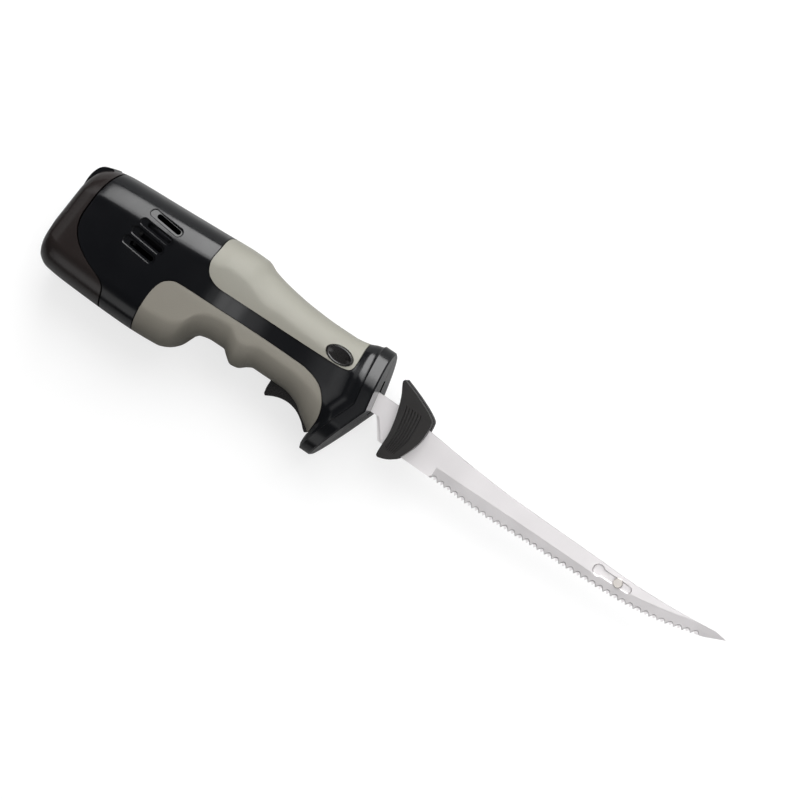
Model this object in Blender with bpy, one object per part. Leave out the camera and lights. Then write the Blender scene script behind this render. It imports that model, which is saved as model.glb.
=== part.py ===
"""Cordless electric fillet knife, lying on its left side.

Everything is laid out in the knife's own frame: X runs from the rear face to the blade tip, Y
towards the thumb side and the blade's spine, and Z towards the knife's right side, with Z = 0 on the
plane where the two housing halves and the two blades meet. The empty that carries all the pieces
sets that frame down so that the knife rests on its left side, centred over the origin.
"""

import math

import bmesh
import bpy
from mathutils import Matrix, Vector

# Clearances
GAP = 0.0003
SEAM = 0.0006
RUNNING = 0.0001
PART_GAP = 0.00015

# Lengths along the knife. The shoulder is where the wide rear body ends, just past the cells. The finger
# waves, the straight grip and the front with the trigger follow it, and the blades reach past the nose.
# X = 0 is a little way inside the rear wall.
REAR_X = -0.0030
TRAY_REAR = 0.0115
CELL_LENGTH = 0.0650
SHOULDER_RUN = 0.0097
WAVES = 0.0418
GRIP_LENGTH = 0.0180
FRONT_LENGTH = 0.0462
BLADE_REACH = 0.2200
SHOULDER = TRAY_REAR + CELL_LENGTH + SHOULDER_RUN
WAVES_END = SHOULDER + WAVES
TRIGGER_ZONE = WAVES_END + GRIP_LENGTH
NOSE = TRIGGER_ZONE + FRONT_LENGTH
TIP_X = NOSE + BLADE_REACH

# Body outline as (station, value) pairs. A station is X on a section that doesn't lean.
FLANGE = 0.0075
EASE = 0.0008
FLANGE_REAR = NOSE - FLANGE
REAR_HALF = 0.0250
GRIP_HALF = 0.0183
NECK_HALF = 0.0170
FLANGE_HALF = 0.0190
REAR_TOP = 0.0271
CREST_TOP = 0.0307
GRIP_TOP = 0.0226
NECK_TOP = 0.0239
FLANGE_TOP = 0.0276
BELLY = -0.0398
FINGER = -0.0208
LUMP = -0.0260
FLANGE_FOOT = -0.0421
TOP_LINE = [
    (REAR_X, 0.0180), (REAR_X + 0.0015, 0.0212), (REAR_X + 0.0045, 0.0238), (REAR_X + 0.0100, 0.0258),
    (0.020, REAR_TOP), (0.050, 0.0285), (SHOULDER - 0.0082, 0.0299), (SHOULDER + 0.0078, CREST_TOP),
    (SHOULDER + 0.0155, 0.0306), (SHOULDER + 0.0228, 0.0279), (SHOULDER + 0.0337, 0.0255),
    (SHOULDER + 0.0498, 0.0234), (NOSE - 0.0402, GRIP_TOP), (NOSE - 0.0250, 0.0227),
    (NOSE - 0.0158, NECK_TOP), (NOSE - 0.0110, 0.0257), (FLANGE_REAR, FLANGE_TOP - EASE),
    (FLANGE_REAR + EASE, FLANGE_TOP), (NOSE - EASE, FLANGE_TOP), (NOSE, FLANGE_TOP - EASE),
]
BOTTOM_LINE = [
    (REAR_X, -0.0225), (REAR_X + 0.0015, -0.0295), (REAR_X + 0.0045, -0.0345),
    (REAR_X + 0.0100, -0.0375), (0.020, -0.0387), (SHOULDER - 0.0282, BELLY),
    (SHOULDER - 0.0082, -0.0388), (SHOULDER - 0.0042, -0.0375),
    (SHOULDER, -0.0338), (SHOULDER + 0.0036, -0.0262), (SHOULDER + 0.0078, -0.0224),
    (SHOULDER + 0.0155, FINGER), (SHOULDER + 0.0228, FINGER), (SHOULDER + 0.0263, -0.0234),
    (SHOULDER + 0.0303, LUMP), (SHOULDER + 0.0337, -0.0255), (SHOULDER + 0.0373, -0.0228),
    (WAVES_END, FINGER), (TRIGGER_ZONE, FINGER), (NOSE - 0.0329, -0.0234), (NOSE - 0.0250, -0.0265),
    (NOSE - 0.0158, -0.0307), (NOSE - 0.0110, -0.0338), (NOSE - 0.0084, -0.0400),
    (FLANGE_REAR, FLANGE_FOOT + EASE), (FLANGE_REAR + EASE, FLANGE_FOOT), (NOSE - EASE, FLANGE_FOOT),
    (NOSE, FLANGE_FOOT + EASE),
]
SIDE_LINE = [
    (REAR_X, 0.0165), (REAR_X + 0.0015, 0.0205), (REAR_X + 0.0045, 0.0232), (REAR_X + 0.0100, 0.0246),
    (0.014, REAR_HALF), (SHOULDER, REAR_HALF), (SHOULDER + 0.0078, 0.0243), (SHOULDER + 0.0155, 0.0226),
    (SHOULDER + 0.0263, 0.0203), (WAVES_END, 0.0188), (NOSE - 0.0402, GRIP_HALF),
    (NOSE - 0.0250, 0.0176), (NOSE - 0.0158, NECK_HALF), (NOSE - 0.0110, 0.0178),
    (FLANGE_REAR, FLANGE_HALF - EASE), (FLANGE_REAR + EASE, FLANGE_HALF), (NOSE - EASE, FLANGE_HALF),
    (NOSE, FLANGE_HALF - EASE),
]
SQUARENESS_LINE = [
    (REAR_X, 3.0), (SHOULDER - 0.0082, 3.2), (SHOULDER + 0.0228, 2.6), (NOSE - 0.0250, 2.5),
    (NOSE - 0.0084, 2.2), (NOSE, 2.2),
]
SIDE_FLATTENING = 1.055
SECTION_POINTS = 28
CAVITY_POINTS = 20
REAR_SLOPE = 0.100
REAR_FOOT = -0.0225
REAR_LEAN_END = 0.020
NOSE_Y = -0.0052
UPPER_SLOPE = 0.163
LOWER_SLOPE = 0.394
LEAN_START = TRIGGER_ZONE
LEAN_END = NOSE - 0.0152

# Shell walls. The handle's wall is thicker because the soft grips are let into it.
REAR_WALL = 0.0024
GRIP_WALL = 0.0038
WALL_STEP = (SHOULDER - 0.0292, SHOULDER - 0.0252)
FRONT_WALL = 0.0032
GRIP_SKIN = 0.0016

# Seam between the battery pack and the body, and the outlines of the soft grips, as X, Y points
PACK_SEAM = [
    (0.0138, 0.0400), (0.0138, 0.0270), (0.0125, 0.0205), (0.0115, 0.0138), (0.0107, 0.0048),
    (0.0106, -0.0028), (0.0124, -0.0092), (0.0171, -0.0151), (0.0228, -0.0190), (0.0292, -0.0221),
    (0.0362, -0.0248), (0.0400, -0.0280), (0.0414, -0.0330), (0.0417, -0.0388), (0.0417, -0.0600),
]
UPPER_GRIP = [
    (SHOULDER - 0.0050, 0.0450), (SHOULDER - 0.0049, 0.0300), (SHOULDER - 0.0044, 0.0233),
    (SHOULDER - 0.0045, 0.0158), (SHOULDER - 0.0022, 0.0103), (SHOULDER + 0.0020, 0.0072),
    (SHOULDER + 0.0081, 0.0058), (NOSE - 0.0282, 0.0063), (NOSE - 0.0194, 0.0077),
    (NOSE - 0.0177, 0.0113), (NOSE - 0.0194, 0.0240), (NOSE - 0.0222, 0.0450),
]
LOWER_GRIP = [
    (SHOULDER - 0.0230, -0.0550), (SHOULDER - 0.0230, -0.0395), (SHOULDER - 0.0232, -0.0232),
    (SHOULDER - 0.0228, -0.0152), (SHOULDER - 0.0206, -0.0082), (SHOULDER - 0.0164, -0.0046),
    (SHOULDER - 0.0123, -0.0035), (SHOULDER + 0.0106, -0.0031), (NOSE - 0.0437, -0.0033),
    (NOSE - 0.0344, -0.0046), (NOSE - 0.0272, -0.0079), (NOSE - 0.0217, -0.0147),
    (NOSE - 0.0196, -0.0224), (NOSE - 0.0205, -0.0309), (NOSE - 0.0218, -0.0338),
    (NOSE - 0.0232, -0.0550),
]

# Cooling vents: four slots on each side, each with a through opening in its front part
VENT_COUNT = 4
VENT_FIRST = (0.0518, 0.0191)
VENT_STEP = (-0.00145, -0.0065)
VENT_LENGTH = 0.0208
VENT_HEIGHT = 0.0046
VENT_DEPTH = 0.0016
VENT_TILT = math.radians(-6)
VENT_HOLE_LENGTH = 0.0158
VENT_HOLE_HEIGHT = 0.0027

# Motor, worm and eccentric wheel
WHEEL_X = SHOULDER + 0.0048
MOTOR_Y = 0.0090
MOTOR_R = 0.01385
MOTOR_LENGTH = 0.0380
MOTOR_FRONT_TO_WHEEL = 0.0170
MOTOR_REAR = WHEEL_X - MOTOR_FRONT_TO_WHEEL - MOTOR_LENGTH
CAN_WALL = 0.0009
ENDCAP = 0.0030
SHAFT_R = 0.0016
SHAFT_REAR_END = 0.0020
ARMATURE_R = 0.0098
MAGNET_WALL = 0.0018
WORM_R = 0.0045
WORM_THREAD = 0.0014
WORM_LENGTH = 0.0180
WORM_PITCH = 0.0030
WHEEL_R = 0.0097
WHEEL_HALF = 0.0032
WHEEL_TEETH = 20
TOOTH_DEPTH = 0.0012
CRANK_THROW = 0.0027
CAM_R = 0.0055
CAM_END = 0.0067
AXLE_R = 0.0019

# Frame round the gears
FRAME_INNER = 0.0074
FRAME_WALL = 0.0020
FRAME_FOOT = -0.0145
FRAME_TOP = 0.0145
FRAME_PLATE = 0.0018

# Blade drivers
YOKE_IN = 0.0037
YOKE_OUT = 0.0069
YOKE_RIM = 0.0020
SWEEP_ERROR = 0.21
BAR_HALF = 0.0084
BAR_OUT = 0.0045
BAR_FRONT = NOSE - 0.0242
JOG = 0.0040
SOCKET_DEPTH = 0.0260
GUIDE_X = SHOULDER + 0.0348
GUIDE_LENGTH = 0.0060
GUIDE_RIM = 0.0024

# Blades
BLADE_THICKNESS = 0.0010
TANG_REAR = NOSE - 0.0472
SHANK_TOP = 0.0056
SHANK_FOOT = -0.0051
HEEL = [(NOSE + 0.0054, SHANK_FOOT), (NOSE + 0.0132, -0.0160)]
FAR_HEEL_OFFSET = 0.0022
SPINE = [
    (NOSE + 0.0317, 0.0036), (NOSE + 0.0571, 0.0010), (NOSE + 0.0825, -0.0009),
    (TIP_X - 0.1124, -0.0016), (TIP_X - 0.0806, -0.0022), (TIP_X - 0.0552, -0.0028),
    (TIP_X - 0.0361, -0.0022), (TIP_X - 0.0198, -0.0010), (TIP_X - 0.0069, 0.0004),
]
TIP_Y = -0.0006
EDGE = [
    (NOSE + 0.0450, -0.0165), (NOSE + 0.0759, -0.0177), (TIP_X - 0.1124, -0.0166),
    (TIP_X - 0.0806, -0.0158), (TIP_X - 0.0552, -0.0146), (TIP_X - 0.0361, -0.0120),
    (TIP_X - 0.0198, -0.0082), (TIP_X - 0.0101, -0.0052),
]
TOOTH_PITCH = 0.0045
GULLET_DEPTH = 0.0027
GULLET_POINTS = 4
KEYHOLE_X = (TIP_X - 0.0747, TIP_X - 0.0549)
KEYHOLE_Y = -0.0071
KEYHOLE_HALF = 0.0017
KEYHOLE_ENTRY_R = 0.0029
RIVET_X = TIP_X - 0.0627
RIVET_R = 0.0012
RIVET_HEAD_R = 0.0026
RIVET_HEAD = 0.0008
SLOT_HALF = 0.0022
SLOT_TOP = 0.0120
SLOT_FOOT = -0.0080

# Finger guards on the blades
GUARD_THICKNESS = 0.0058
GUARD_OUTLINE = [
    (NOSE + 0.0067, 0.0193), (NOSE + 0.0188, 0.0150), (NOSE + 0.0300, 0.0094), (NOSE + 0.0314, 0.0058),
    (NOSE + 0.0312, -0.0036), (NOSE + 0.0275, -0.0140), (NOSE + 0.0239, -0.0192),
    (NOSE + 0.0171, -0.0223), (NOSE + 0.0154, -0.0214), (NOSE + 0.0150, -0.0088),
    (NOSE + 0.0130, 0.0016), (NOSE + 0.0098, 0.0110), (NOSE + 0.0063, 0.0178),
]
GUARD_EASE = 0.0009
GUARD_PEGS = [(NOSE + 0.0198, 0.0015), (NOSE + 0.0213, -0.0115)]
PEG_R = 0.0014

# Blade release buttons and the leaf clips that they press
BUTTON = (NOSE - 0.0278, 0.0116)
BUTTON_LENGTH = 0.0156
BUTTON_HEIGHT = 0.0088
BUTTON_PROUD = 0.0011
BUTTON_ROOT = 0.0100
BUTTON_TRAVEL = 0.0022
BUTTON_EAR = 0.0014
EAR_REACH = 0.0021
STEM_R = 0.0020
CLIP_THICKNESS = 0.0005
CLIP_HALF = 0.0025
CLIP_REAR = NOSE - 0.0432
CLIP_PAD = 0.0046
CLIP_WINDOW = (NOSE - 0.0399, NOSE - 0.0359)

# Trigger and switch
PIVOT = (NOSE - 0.0262, -0.0235)
PIVOT_R = 0.0012
PIVOT_BOSS_R = 0.0032
CHEEK_HALF = 0.0034
TRIGGER_FRONT = NOSE - 0.0216
TRIGGER_HALF = 0.0060
TRIGGER_SIDE_GAP = 0.0003
TRIGGER_REAR = NOSE - 0.0528
TRIGGER_TOP = -0.0204
TRIGGER_CURVE = [
    (NOSE - 0.0511, -0.0289), (NOSE - 0.0470, -0.0268), (NOSE - 0.0429, -0.0255),
    (NOSE - 0.0377, -0.0252), (NOSE - 0.0325, -0.0265), (NOSE - 0.0273, -0.0297),
    (NOSE - 0.0242, -0.0326), (NOSE - 0.0228, -0.0333), (NOSE - 0.0221, -0.0322),
]
PIN_HALF = 0.0085
STOP_REACH = 0.0016
STOP_TOP = -0.0140
SLOT_CEILING = -0.0152
SWITCH_REAR = NOSE - 0.0492
SWITCH_LENGTH = 0.0140
SWITCH_HALF = 0.0032
SWITCH_FOOT = -0.0169
SWITCH_TOP = -0.0092
PLUNGER_X = NOSE - 0.0452
PLUNGER_R = 0.0010
PLUNGER_LENGTH = 0.0050
PLUNGER_TRAVEL = 0.0021
PAD_TOP = -0.0195
SPRING_X = NOSE - 0.0322
SPRING_R = 0.0020
SHELF_FOOT = -0.0124
SHELF = 0.0018

# Battery pack
CELL_R = 0.0092
CELL_Y = -0.0218
CELL_WEB = 0.0012
TRAY_WALL = 0.0008
BOARD = 0.0012
BOARD_HALF = 0.0150
BOARD_REAR = 0.0100
BOARD_FRONT = TRAY_REAR + CELL_LENGTH - 0.0105
SOCKET_REAR = BOARD_FRONT - 0.0140
SOCKET_HALF = 0.0080
SOCKET_TOP = -0.0055
CONTACT_HALF = 0.0006
CONTACT_RISE = 0.0015
CONTACT_Z = 0.0040
PLUG_LENGTH = 0.0065
COVER = 0.0016
COVER_REAR = 0.0080
COVER_TOP = 0.0167
BULKHEAD_X = 0.0190
BULKHEAD = 0.0020
JACK_Y = -0.0040
JACK_R = 0.0042
JACK_HALF = 0.0047
JACK_BORE_R = 0.0029
JACK_PIN_R = 0.0010
JACK_FACE = REAR_X + 0.0024
LATCH_HALF = 0.0088
LATCH_PROUD = 0.0030
LATCH_BAND = (REAR_X + 0.0110, REAR_X + 0.0368)
LATCH_LIP = 0.0012
ARM_HALF = 0.0040
ARM_FOOT = 0.0184
ARM_TOP = 0.0197
NOSE_TOP = 0.0206
LATCH_SPRING_Y = 0.0146
LATCH_SPRING_R = 0.0022

# Ribs and screws in the housing
RIB = 0.0020
MOTOR_RIBS = (MOTOR_REAR + 0.0040, MOTOR_REAR + 0.0290)
MOTOR_RIB_FOOT = -0.0010
FRAME_RIBS = (WHEEL_X - 0.0075, WHEEL_X + 0.0060)
SCREWS = [
    (MOTOR_REAR - 0.0098, 0.0020), (SHOULDER - 0.0074, 0.0230), (SHOULDER + 0.0243, -0.0130),
    (NOSE - 0.0542, 0.0140), (NOSE - 0.0157, -0.0170),
]
POST_R = 0.0042
SCREW_R = 0.0014
SCREW_HEAD_R = 0.0027
SCREW_HEAD = 0.0018
SCREW_SINK = 0.0030
SCREW_REACH = 0.0080

# Colours as plain red, green, blue, with roughness and metallic values
FINISHES = {
    "black_shell": ((0.012, 0.012, 0.013), 0.22, 0.0),
    "pack_black": ((0.020, 0.018, 0.017), 0.42, 0.0),
    "soft_grey": ((0.33, 0.33, 0.29), 0.70, 0.0),
    "matte_black": ((0.015, 0.014, 0.013), 0.60, 0.0),
    "blade_steel": ((0.72, 0.71, 0.70), 0.28, 1.0),
    "plain_steel": ((0.45, 0.45, 0.46), 0.35, 1.0),
    "zinc": ((0.52, 0.52, 0.50), 0.45, 1.0),
    "brass": ((0.60, 0.42, 0.16), 0.35, 1.0),
    "acetal": ((0.75, 0.74, 0.68), 0.45, 0.0),
    "cell_wrap": ((0.05, 0.16, 0.32), 0.40, 0.0),
    "board_green": ((0.02, 0.12, 0.05), 0.50, 0.0),
    "magnet": ((0.10, 0.10, 0.10), 0.55, 0.0),
    "copper": ((0.62, 0.30, 0.15), 0.40, 1.0),
}

FAR = 0.0600


def clear_scene():
    for item in list(bpy.data.objects):
        bpy.data.objects.remove(item, do_unlink=True)


def finish(name):
    """The material of this name, made on first use."""
    found = bpy.data.materials.get(name)
    if found:
        return found
    colour, roughness, metallic = FINISHES[name]
    made = bpy.data.materials.new(name)
    made.use_nodes = True
    shader = made.node_tree.nodes["Principled BSDF"]
    shader.inputs["Base Color"].default_value = (*colour, 1)
    shader.inputs["Roughness"].default_value = roughness
    shader.inputs["Metallic"].default_value = metallic
    made.diffuse_color = (*colour, 1)
    return made


def add_object(name, shape, origin):
    """Turn a bmesh into an object of the knife's frame, with its origin at the given point."""
    bmesh.ops.recalc_face_normals(shape, faces=shape.faces)
    bmesh.ops.translate(shape, verts=shape.verts, vec=-Vector(origin))
    mesh = bpy.data.meshes.new(name)
    shape.to_mesh(mesh)
    shape.free()
    made = bpy.data.objects.new(name, mesh)
    made.location = origin
    made.parent = frame_empty
    bpy.context.scene.collection.objects.link(made)
    return made


def piece(name, shape, look, origin=(0, 0, 0)):
    """A named sub-part."""
    made = add_object(name, shape, origin)
    made.data.materials.append(finish(look))
    made.data.shade_smooth()
    made.data.set_sharp_from_angle(angle=math.radians(35))
    return made


def tool(name, shape):
    """A cutter or guide, which isn't part of the knife."""
    made = add_object(name, shape, (0, 0, 0))
    made.hide_render = True
    made.display_type = "WIRE"
    return made


def combine(target, how, *others):
    for other in others:
        step = target.modifiers.new(how.lower() + "_" + other.name, "BOOLEAN")
        step.operation = how
        step.solver = "EXACT"
        step.object = other
    return target


def cut(target, *others):
    return combine(target, "DIFFERENCE", *others)


def join(target, *others):
    return combine(target, "UNION", *others)


def keep_within(target, *others):
    return combine(target, "INTERSECT", *others)


def line_at(line, station):
    """Value on a line of (station, value) pairs."""
    if station <= line[0][0]:
        return line[0][1]
    for (s0, v0), (s1, v1) in zip(line, line[1:]):
        if station <= s1:
            return v0 + (v1 - v0) * (station - s0) / (s1 - s0)
    return line[-1][1]


def ramp(value, low, high):
    share = min(max((value - low) / (high - low), 0), 1)
    return share * share * (3 - 2 * share)


def leaned(station, y):
    """X of a point of a section, with the slopes of the rear face and of the nose."""
    rear = REAR_SLOPE * (y - REAR_FOOT) * (1 - ramp(station, REAR_X, REAR_LEAN_END))
    slope = -UPPER_SLOPE if y > NOSE_Y else LOWER_SLOPE
    return station + rear + slope * (y - NOSE_Y) * ramp(station, LEAN_START, LEAN_END)


def section(station, inset, count):
    """Points of one body section, from its foot up the right side and down the left side."""
    top = line_at(TOP_LINE, station) - inset
    foot = line_at(BOTTOM_LINE, station) + inset
    half = line_at(SIDE_LINE, station) - inset
    power = 2 / line_at(SQUARENESS_LINE, station)
    points = []
    for i in range(count):
        turn = 2 * math.pi * i / count - math.pi / 2
        rise = math.copysign(abs(math.sin(turn)) ** power, math.sin(turn))
        reach = math.copysign(abs(math.cos(turn)) ** power, math.cos(turn)) * SIDE_FLATTENING
        if i % (count // 2) == 0:
            reach = 0
        y = (top + foot) / 2 + rise * (top - foot) / 2
        points.append((leaned(station, y), y, half * min(max(reach, -1), 1)))
    return points


def wall_at(station):
    return REAR_WALL + (GRIP_WALL - REAR_WALL) * ramp(station, *WALL_STEP)


def body_form(inset, start=REAR_X, end=NOSE, count=SECTION_POINTS):
    """Closed solid of the body between two stations, moved in by an inset or by the shell's wall."""
    marks = {start, end}
    for line in (TOP_LINE, BOTTOM_LINE, SIDE_LINE):
        marks.update(s for s, _ in line if start + EASE / 2 < s < end - EASE / 2)
    if inset is None:
        marks.update(WALL_STEP)
    shape = bmesh.new()
    rings = []
    for station in sorted(marks):
        depth = wall_at(station) if inset is None else inset
        rings.append([shape.verts.new(p) for p in section(station, depth, count)])
    for low, high in zip(rings, rings[1:]):
        for i in range(count):
            j = (i + 1) % count
            shape.faces.new((low[i], low[j], high[j], high[i]))
    for ring in (rings[0], rings[-1]):
        shape.faces.new((ring[0], ring[1], ring[count - 1]))
        for i in range(1, count // 2 - 1):
            shape.faces.new((ring[i], ring[i + 1], ring[count - i - 1], ring[count - i]))
        shape.faces.new((ring[count // 2 - 1], ring[count // 2], ring[count // 2 + 1]))
    bmesh.ops.triangulate(shape, faces=shape.faces)
    return shape


def side_at(station, y):
    """Height of the body's side over the middle plane, at a station and Y."""
    top = line_at(TOP_LINE, station)
    foot = line_at(BOTTOM_LINE, station)
    power = line_at(SQUARENESS_LINE, station)
    rise = min(abs(y - (top + foot) / 2) / ((top - foot) / 2), 1)
    return line_at(SIDE_LINE, station) * min((1 - rise**power) ** (1 / power) * SIDE_FLATTENING, 1)


def prism(outline, low, high):
    """Outline in X and Y, extruded along Z."""
    shape = bmesh.new()
    foot = [shape.verts.new((x, y, low)) for x, y in outline]
    face = shape.faces.new(foot)
    grown = bmesh.ops.extrude_face_region(shape, geom=[face])
    raised = [v for v in grown["geom"] if isinstance(v, bmesh.types.BMVert)]
    bmesh.ops.translate(shape, verts=raised, vec=(0, 0, high - low))
    return shape


def box(x, y, z):
    """Block between two values on each axis."""
    return prism([(x[0], y[0]), (x[1], y[0]), (x[1], y[1]), (x[0], y[1])], z[0], z[1])


def turned(profile, axis, centre, segments=28):
    """Closed (along, radius) profile turned about an axis through a point."""
    shape = bmesh.new()
    rings = []
    for along, radius in profile:
        count = 1 if radius == 0 else segments
        ring = []
        for i in range(count):
            turn = 2 * math.pi * i / segments
            ring.append(shape.verts.new((along, radius * math.cos(turn), radius * math.sin(turn))))
        rings.append(ring)
    closed = profile[0][1] > 0
    pairs = list(zip(rings, rings[1:])) + ([(rings[-1], rings[0])] if closed else [])
    for one, two in pairs:
        for i in range(segments):
            j = (i + 1) % segments
            corners = [one[i % len(one)], one[j % len(one)], two[j % len(two)], two[i % len(two)]]
            corners = list(dict.fromkeys(corners))
            if len(corners) > 2:
                shape.faces.new(corners)
    turn = {"X": Matrix(), "Y": Matrix.Rotation(math.pi / 2, 4, "Z"),
            "Z": Matrix.Rotation(-math.pi / 2, 4, "Y")}[axis]
    bmesh.ops.transform(shape, matrix=Matrix.Translation(centre) @ turn, verts=shape.verts)
    return shape


def rod(axis, centre, radius, low, high, segments=20):
    """Plain cylinder between two values along its axis."""
    return turned([(low, 0), (low, radius), (high, radius), (high, 0)], axis, centre, segments)


def oval(centre, length, height, count=28):
    turns = [2 * math.pi * i / count for i in range(count)]
    return [(centre[0] + length / 2 * math.cos(t), centre[1] + height / 2 * math.sin(t)) for t in turns]


def stadium(centre, length, height, tilt, steps=6):
    """Slot outline with round ends."""
    radius = height / 2
    reach = length / 2 - radius
    points = []
    for side in (1, -1):
        for i in range(steps + 1):
            turn = -math.pi / 2 + math.pi * i / steps
            x = side * (reach + radius * math.cos(turn))
            y = side * radius * math.sin(turn)
            points.append((centre[0] + x * math.cos(tilt) - y * math.sin(tilt),
                           centre[1] + x * math.sin(tilt) + y * math.cos(tilt)))
    return points


def mirrored(shape):
    """The same shape on the left side."""
    bmesh.ops.scale(shape, verts=shape.verts, vec=(1, 1, -1))
    return shape


def sided(shape, side):
    return shape if side > 0 else mirrored(shape)


def merged(*shapes):
    """Several closed shapes that don't meet, in one bmesh."""
    whole = shapes[0]
    for other in shapes[1:]:
        mesh = bpy.data.meshes.new("part")
        other.to_mesh(mesh)
        other.free()
        whole.from_mesh(mesh)
        bpy.data.meshes.remove(mesh)
    return whole


def coil(axis, centre, radius, wire, low, high, turns, per_turn=9, sides=5):
    """Open-wound spring as one tube, with its ends capped."""
    shape = bmesh.new()
    rings = []
    steps = turns * per_turn
    pitch = (high - low - 2 * wire) / turns
    for i in range(steps + 1):
        turn = 2 * math.pi * i / per_turn
        out = Vector((0, math.cos(turn), math.sin(turn)))
        along = Vector((pitch / (2 * math.pi * radius), -math.sin(turn), math.cos(turn))).normalized()
        up = along.cross(out).normalized()
        middle = out * radius + Vector((low + wire + pitch * i / per_turn, 0, 0))
        ring = []
        for k in range(sides):
            angle = 2 * math.pi * k / sides
            ring.append(shape.verts.new(middle + (out * math.cos(angle) + up * math.sin(angle)) * wire))
        rings.append(ring)
    for one, two in zip(rings, rings[1:]):
        for k in range(sides):
            j = (k + 1) % sides
            shape.faces.new((one[k], one[j], two[j], two[k]))
    shape.faces.new(rings[0])
    shape.faces.new(rings[-1])
    turn = {"X": Matrix(), "Y": Matrix.Rotation(math.pi / 2, 4, "Z"),
            "Z": Matrix.Rotation(-math.pi / 2, 4, "Y")}[axis]
    bmesh.ops.transform(shape, matrix=Matrix.Translation(centre) @ turn, verts=shape.verts)
    return shape


def smoothed(points, steps=3):
    """Points along a smooth curve through the given ones."""
    marks = [Vector(p) for p in points]
    ends = [marks[0], *marks, marks[-1]]
    path = []
    for a, b, c, d in zip(ends, ends[1:], ends[2:], ends[3:]):
        span = (c - b).length
        leave = (c - a) * span / (span + (b - a).length)
        arrive = (d - b) * span / (span + (d - c).length)
        for i in range(steps):
            t = i / steps
            here = b * (1 + 2 * t) * (1 - t) ** 2 + c * (3 - 2 * t) * t * t
            path.append(tuple(here + leave * t * (1 - t) ** 2 - arrive * t * t * (1 - t)))
    return path + [tuple(marks[-1])]


def grown(outline, by):
    """Outline moved out by a distance, for the pocket that a piece sits in."""
    area = sum(a[0] * b[1] - b[0] * a[1] for a, b in zip(outline, outline[1:] + outline[:1]))
    sign = by if area > 0 else -by
    moved = []
    for before, here, after in zip(outline[-1:] + outline[:-1], outline, outline[1:] + outline[:1]):
        along = (Vector(after) - Vector(before)).normalized()
        moved.append((here[0] + along.y * sign, here[1] - along.x * sign))
    return moved


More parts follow.
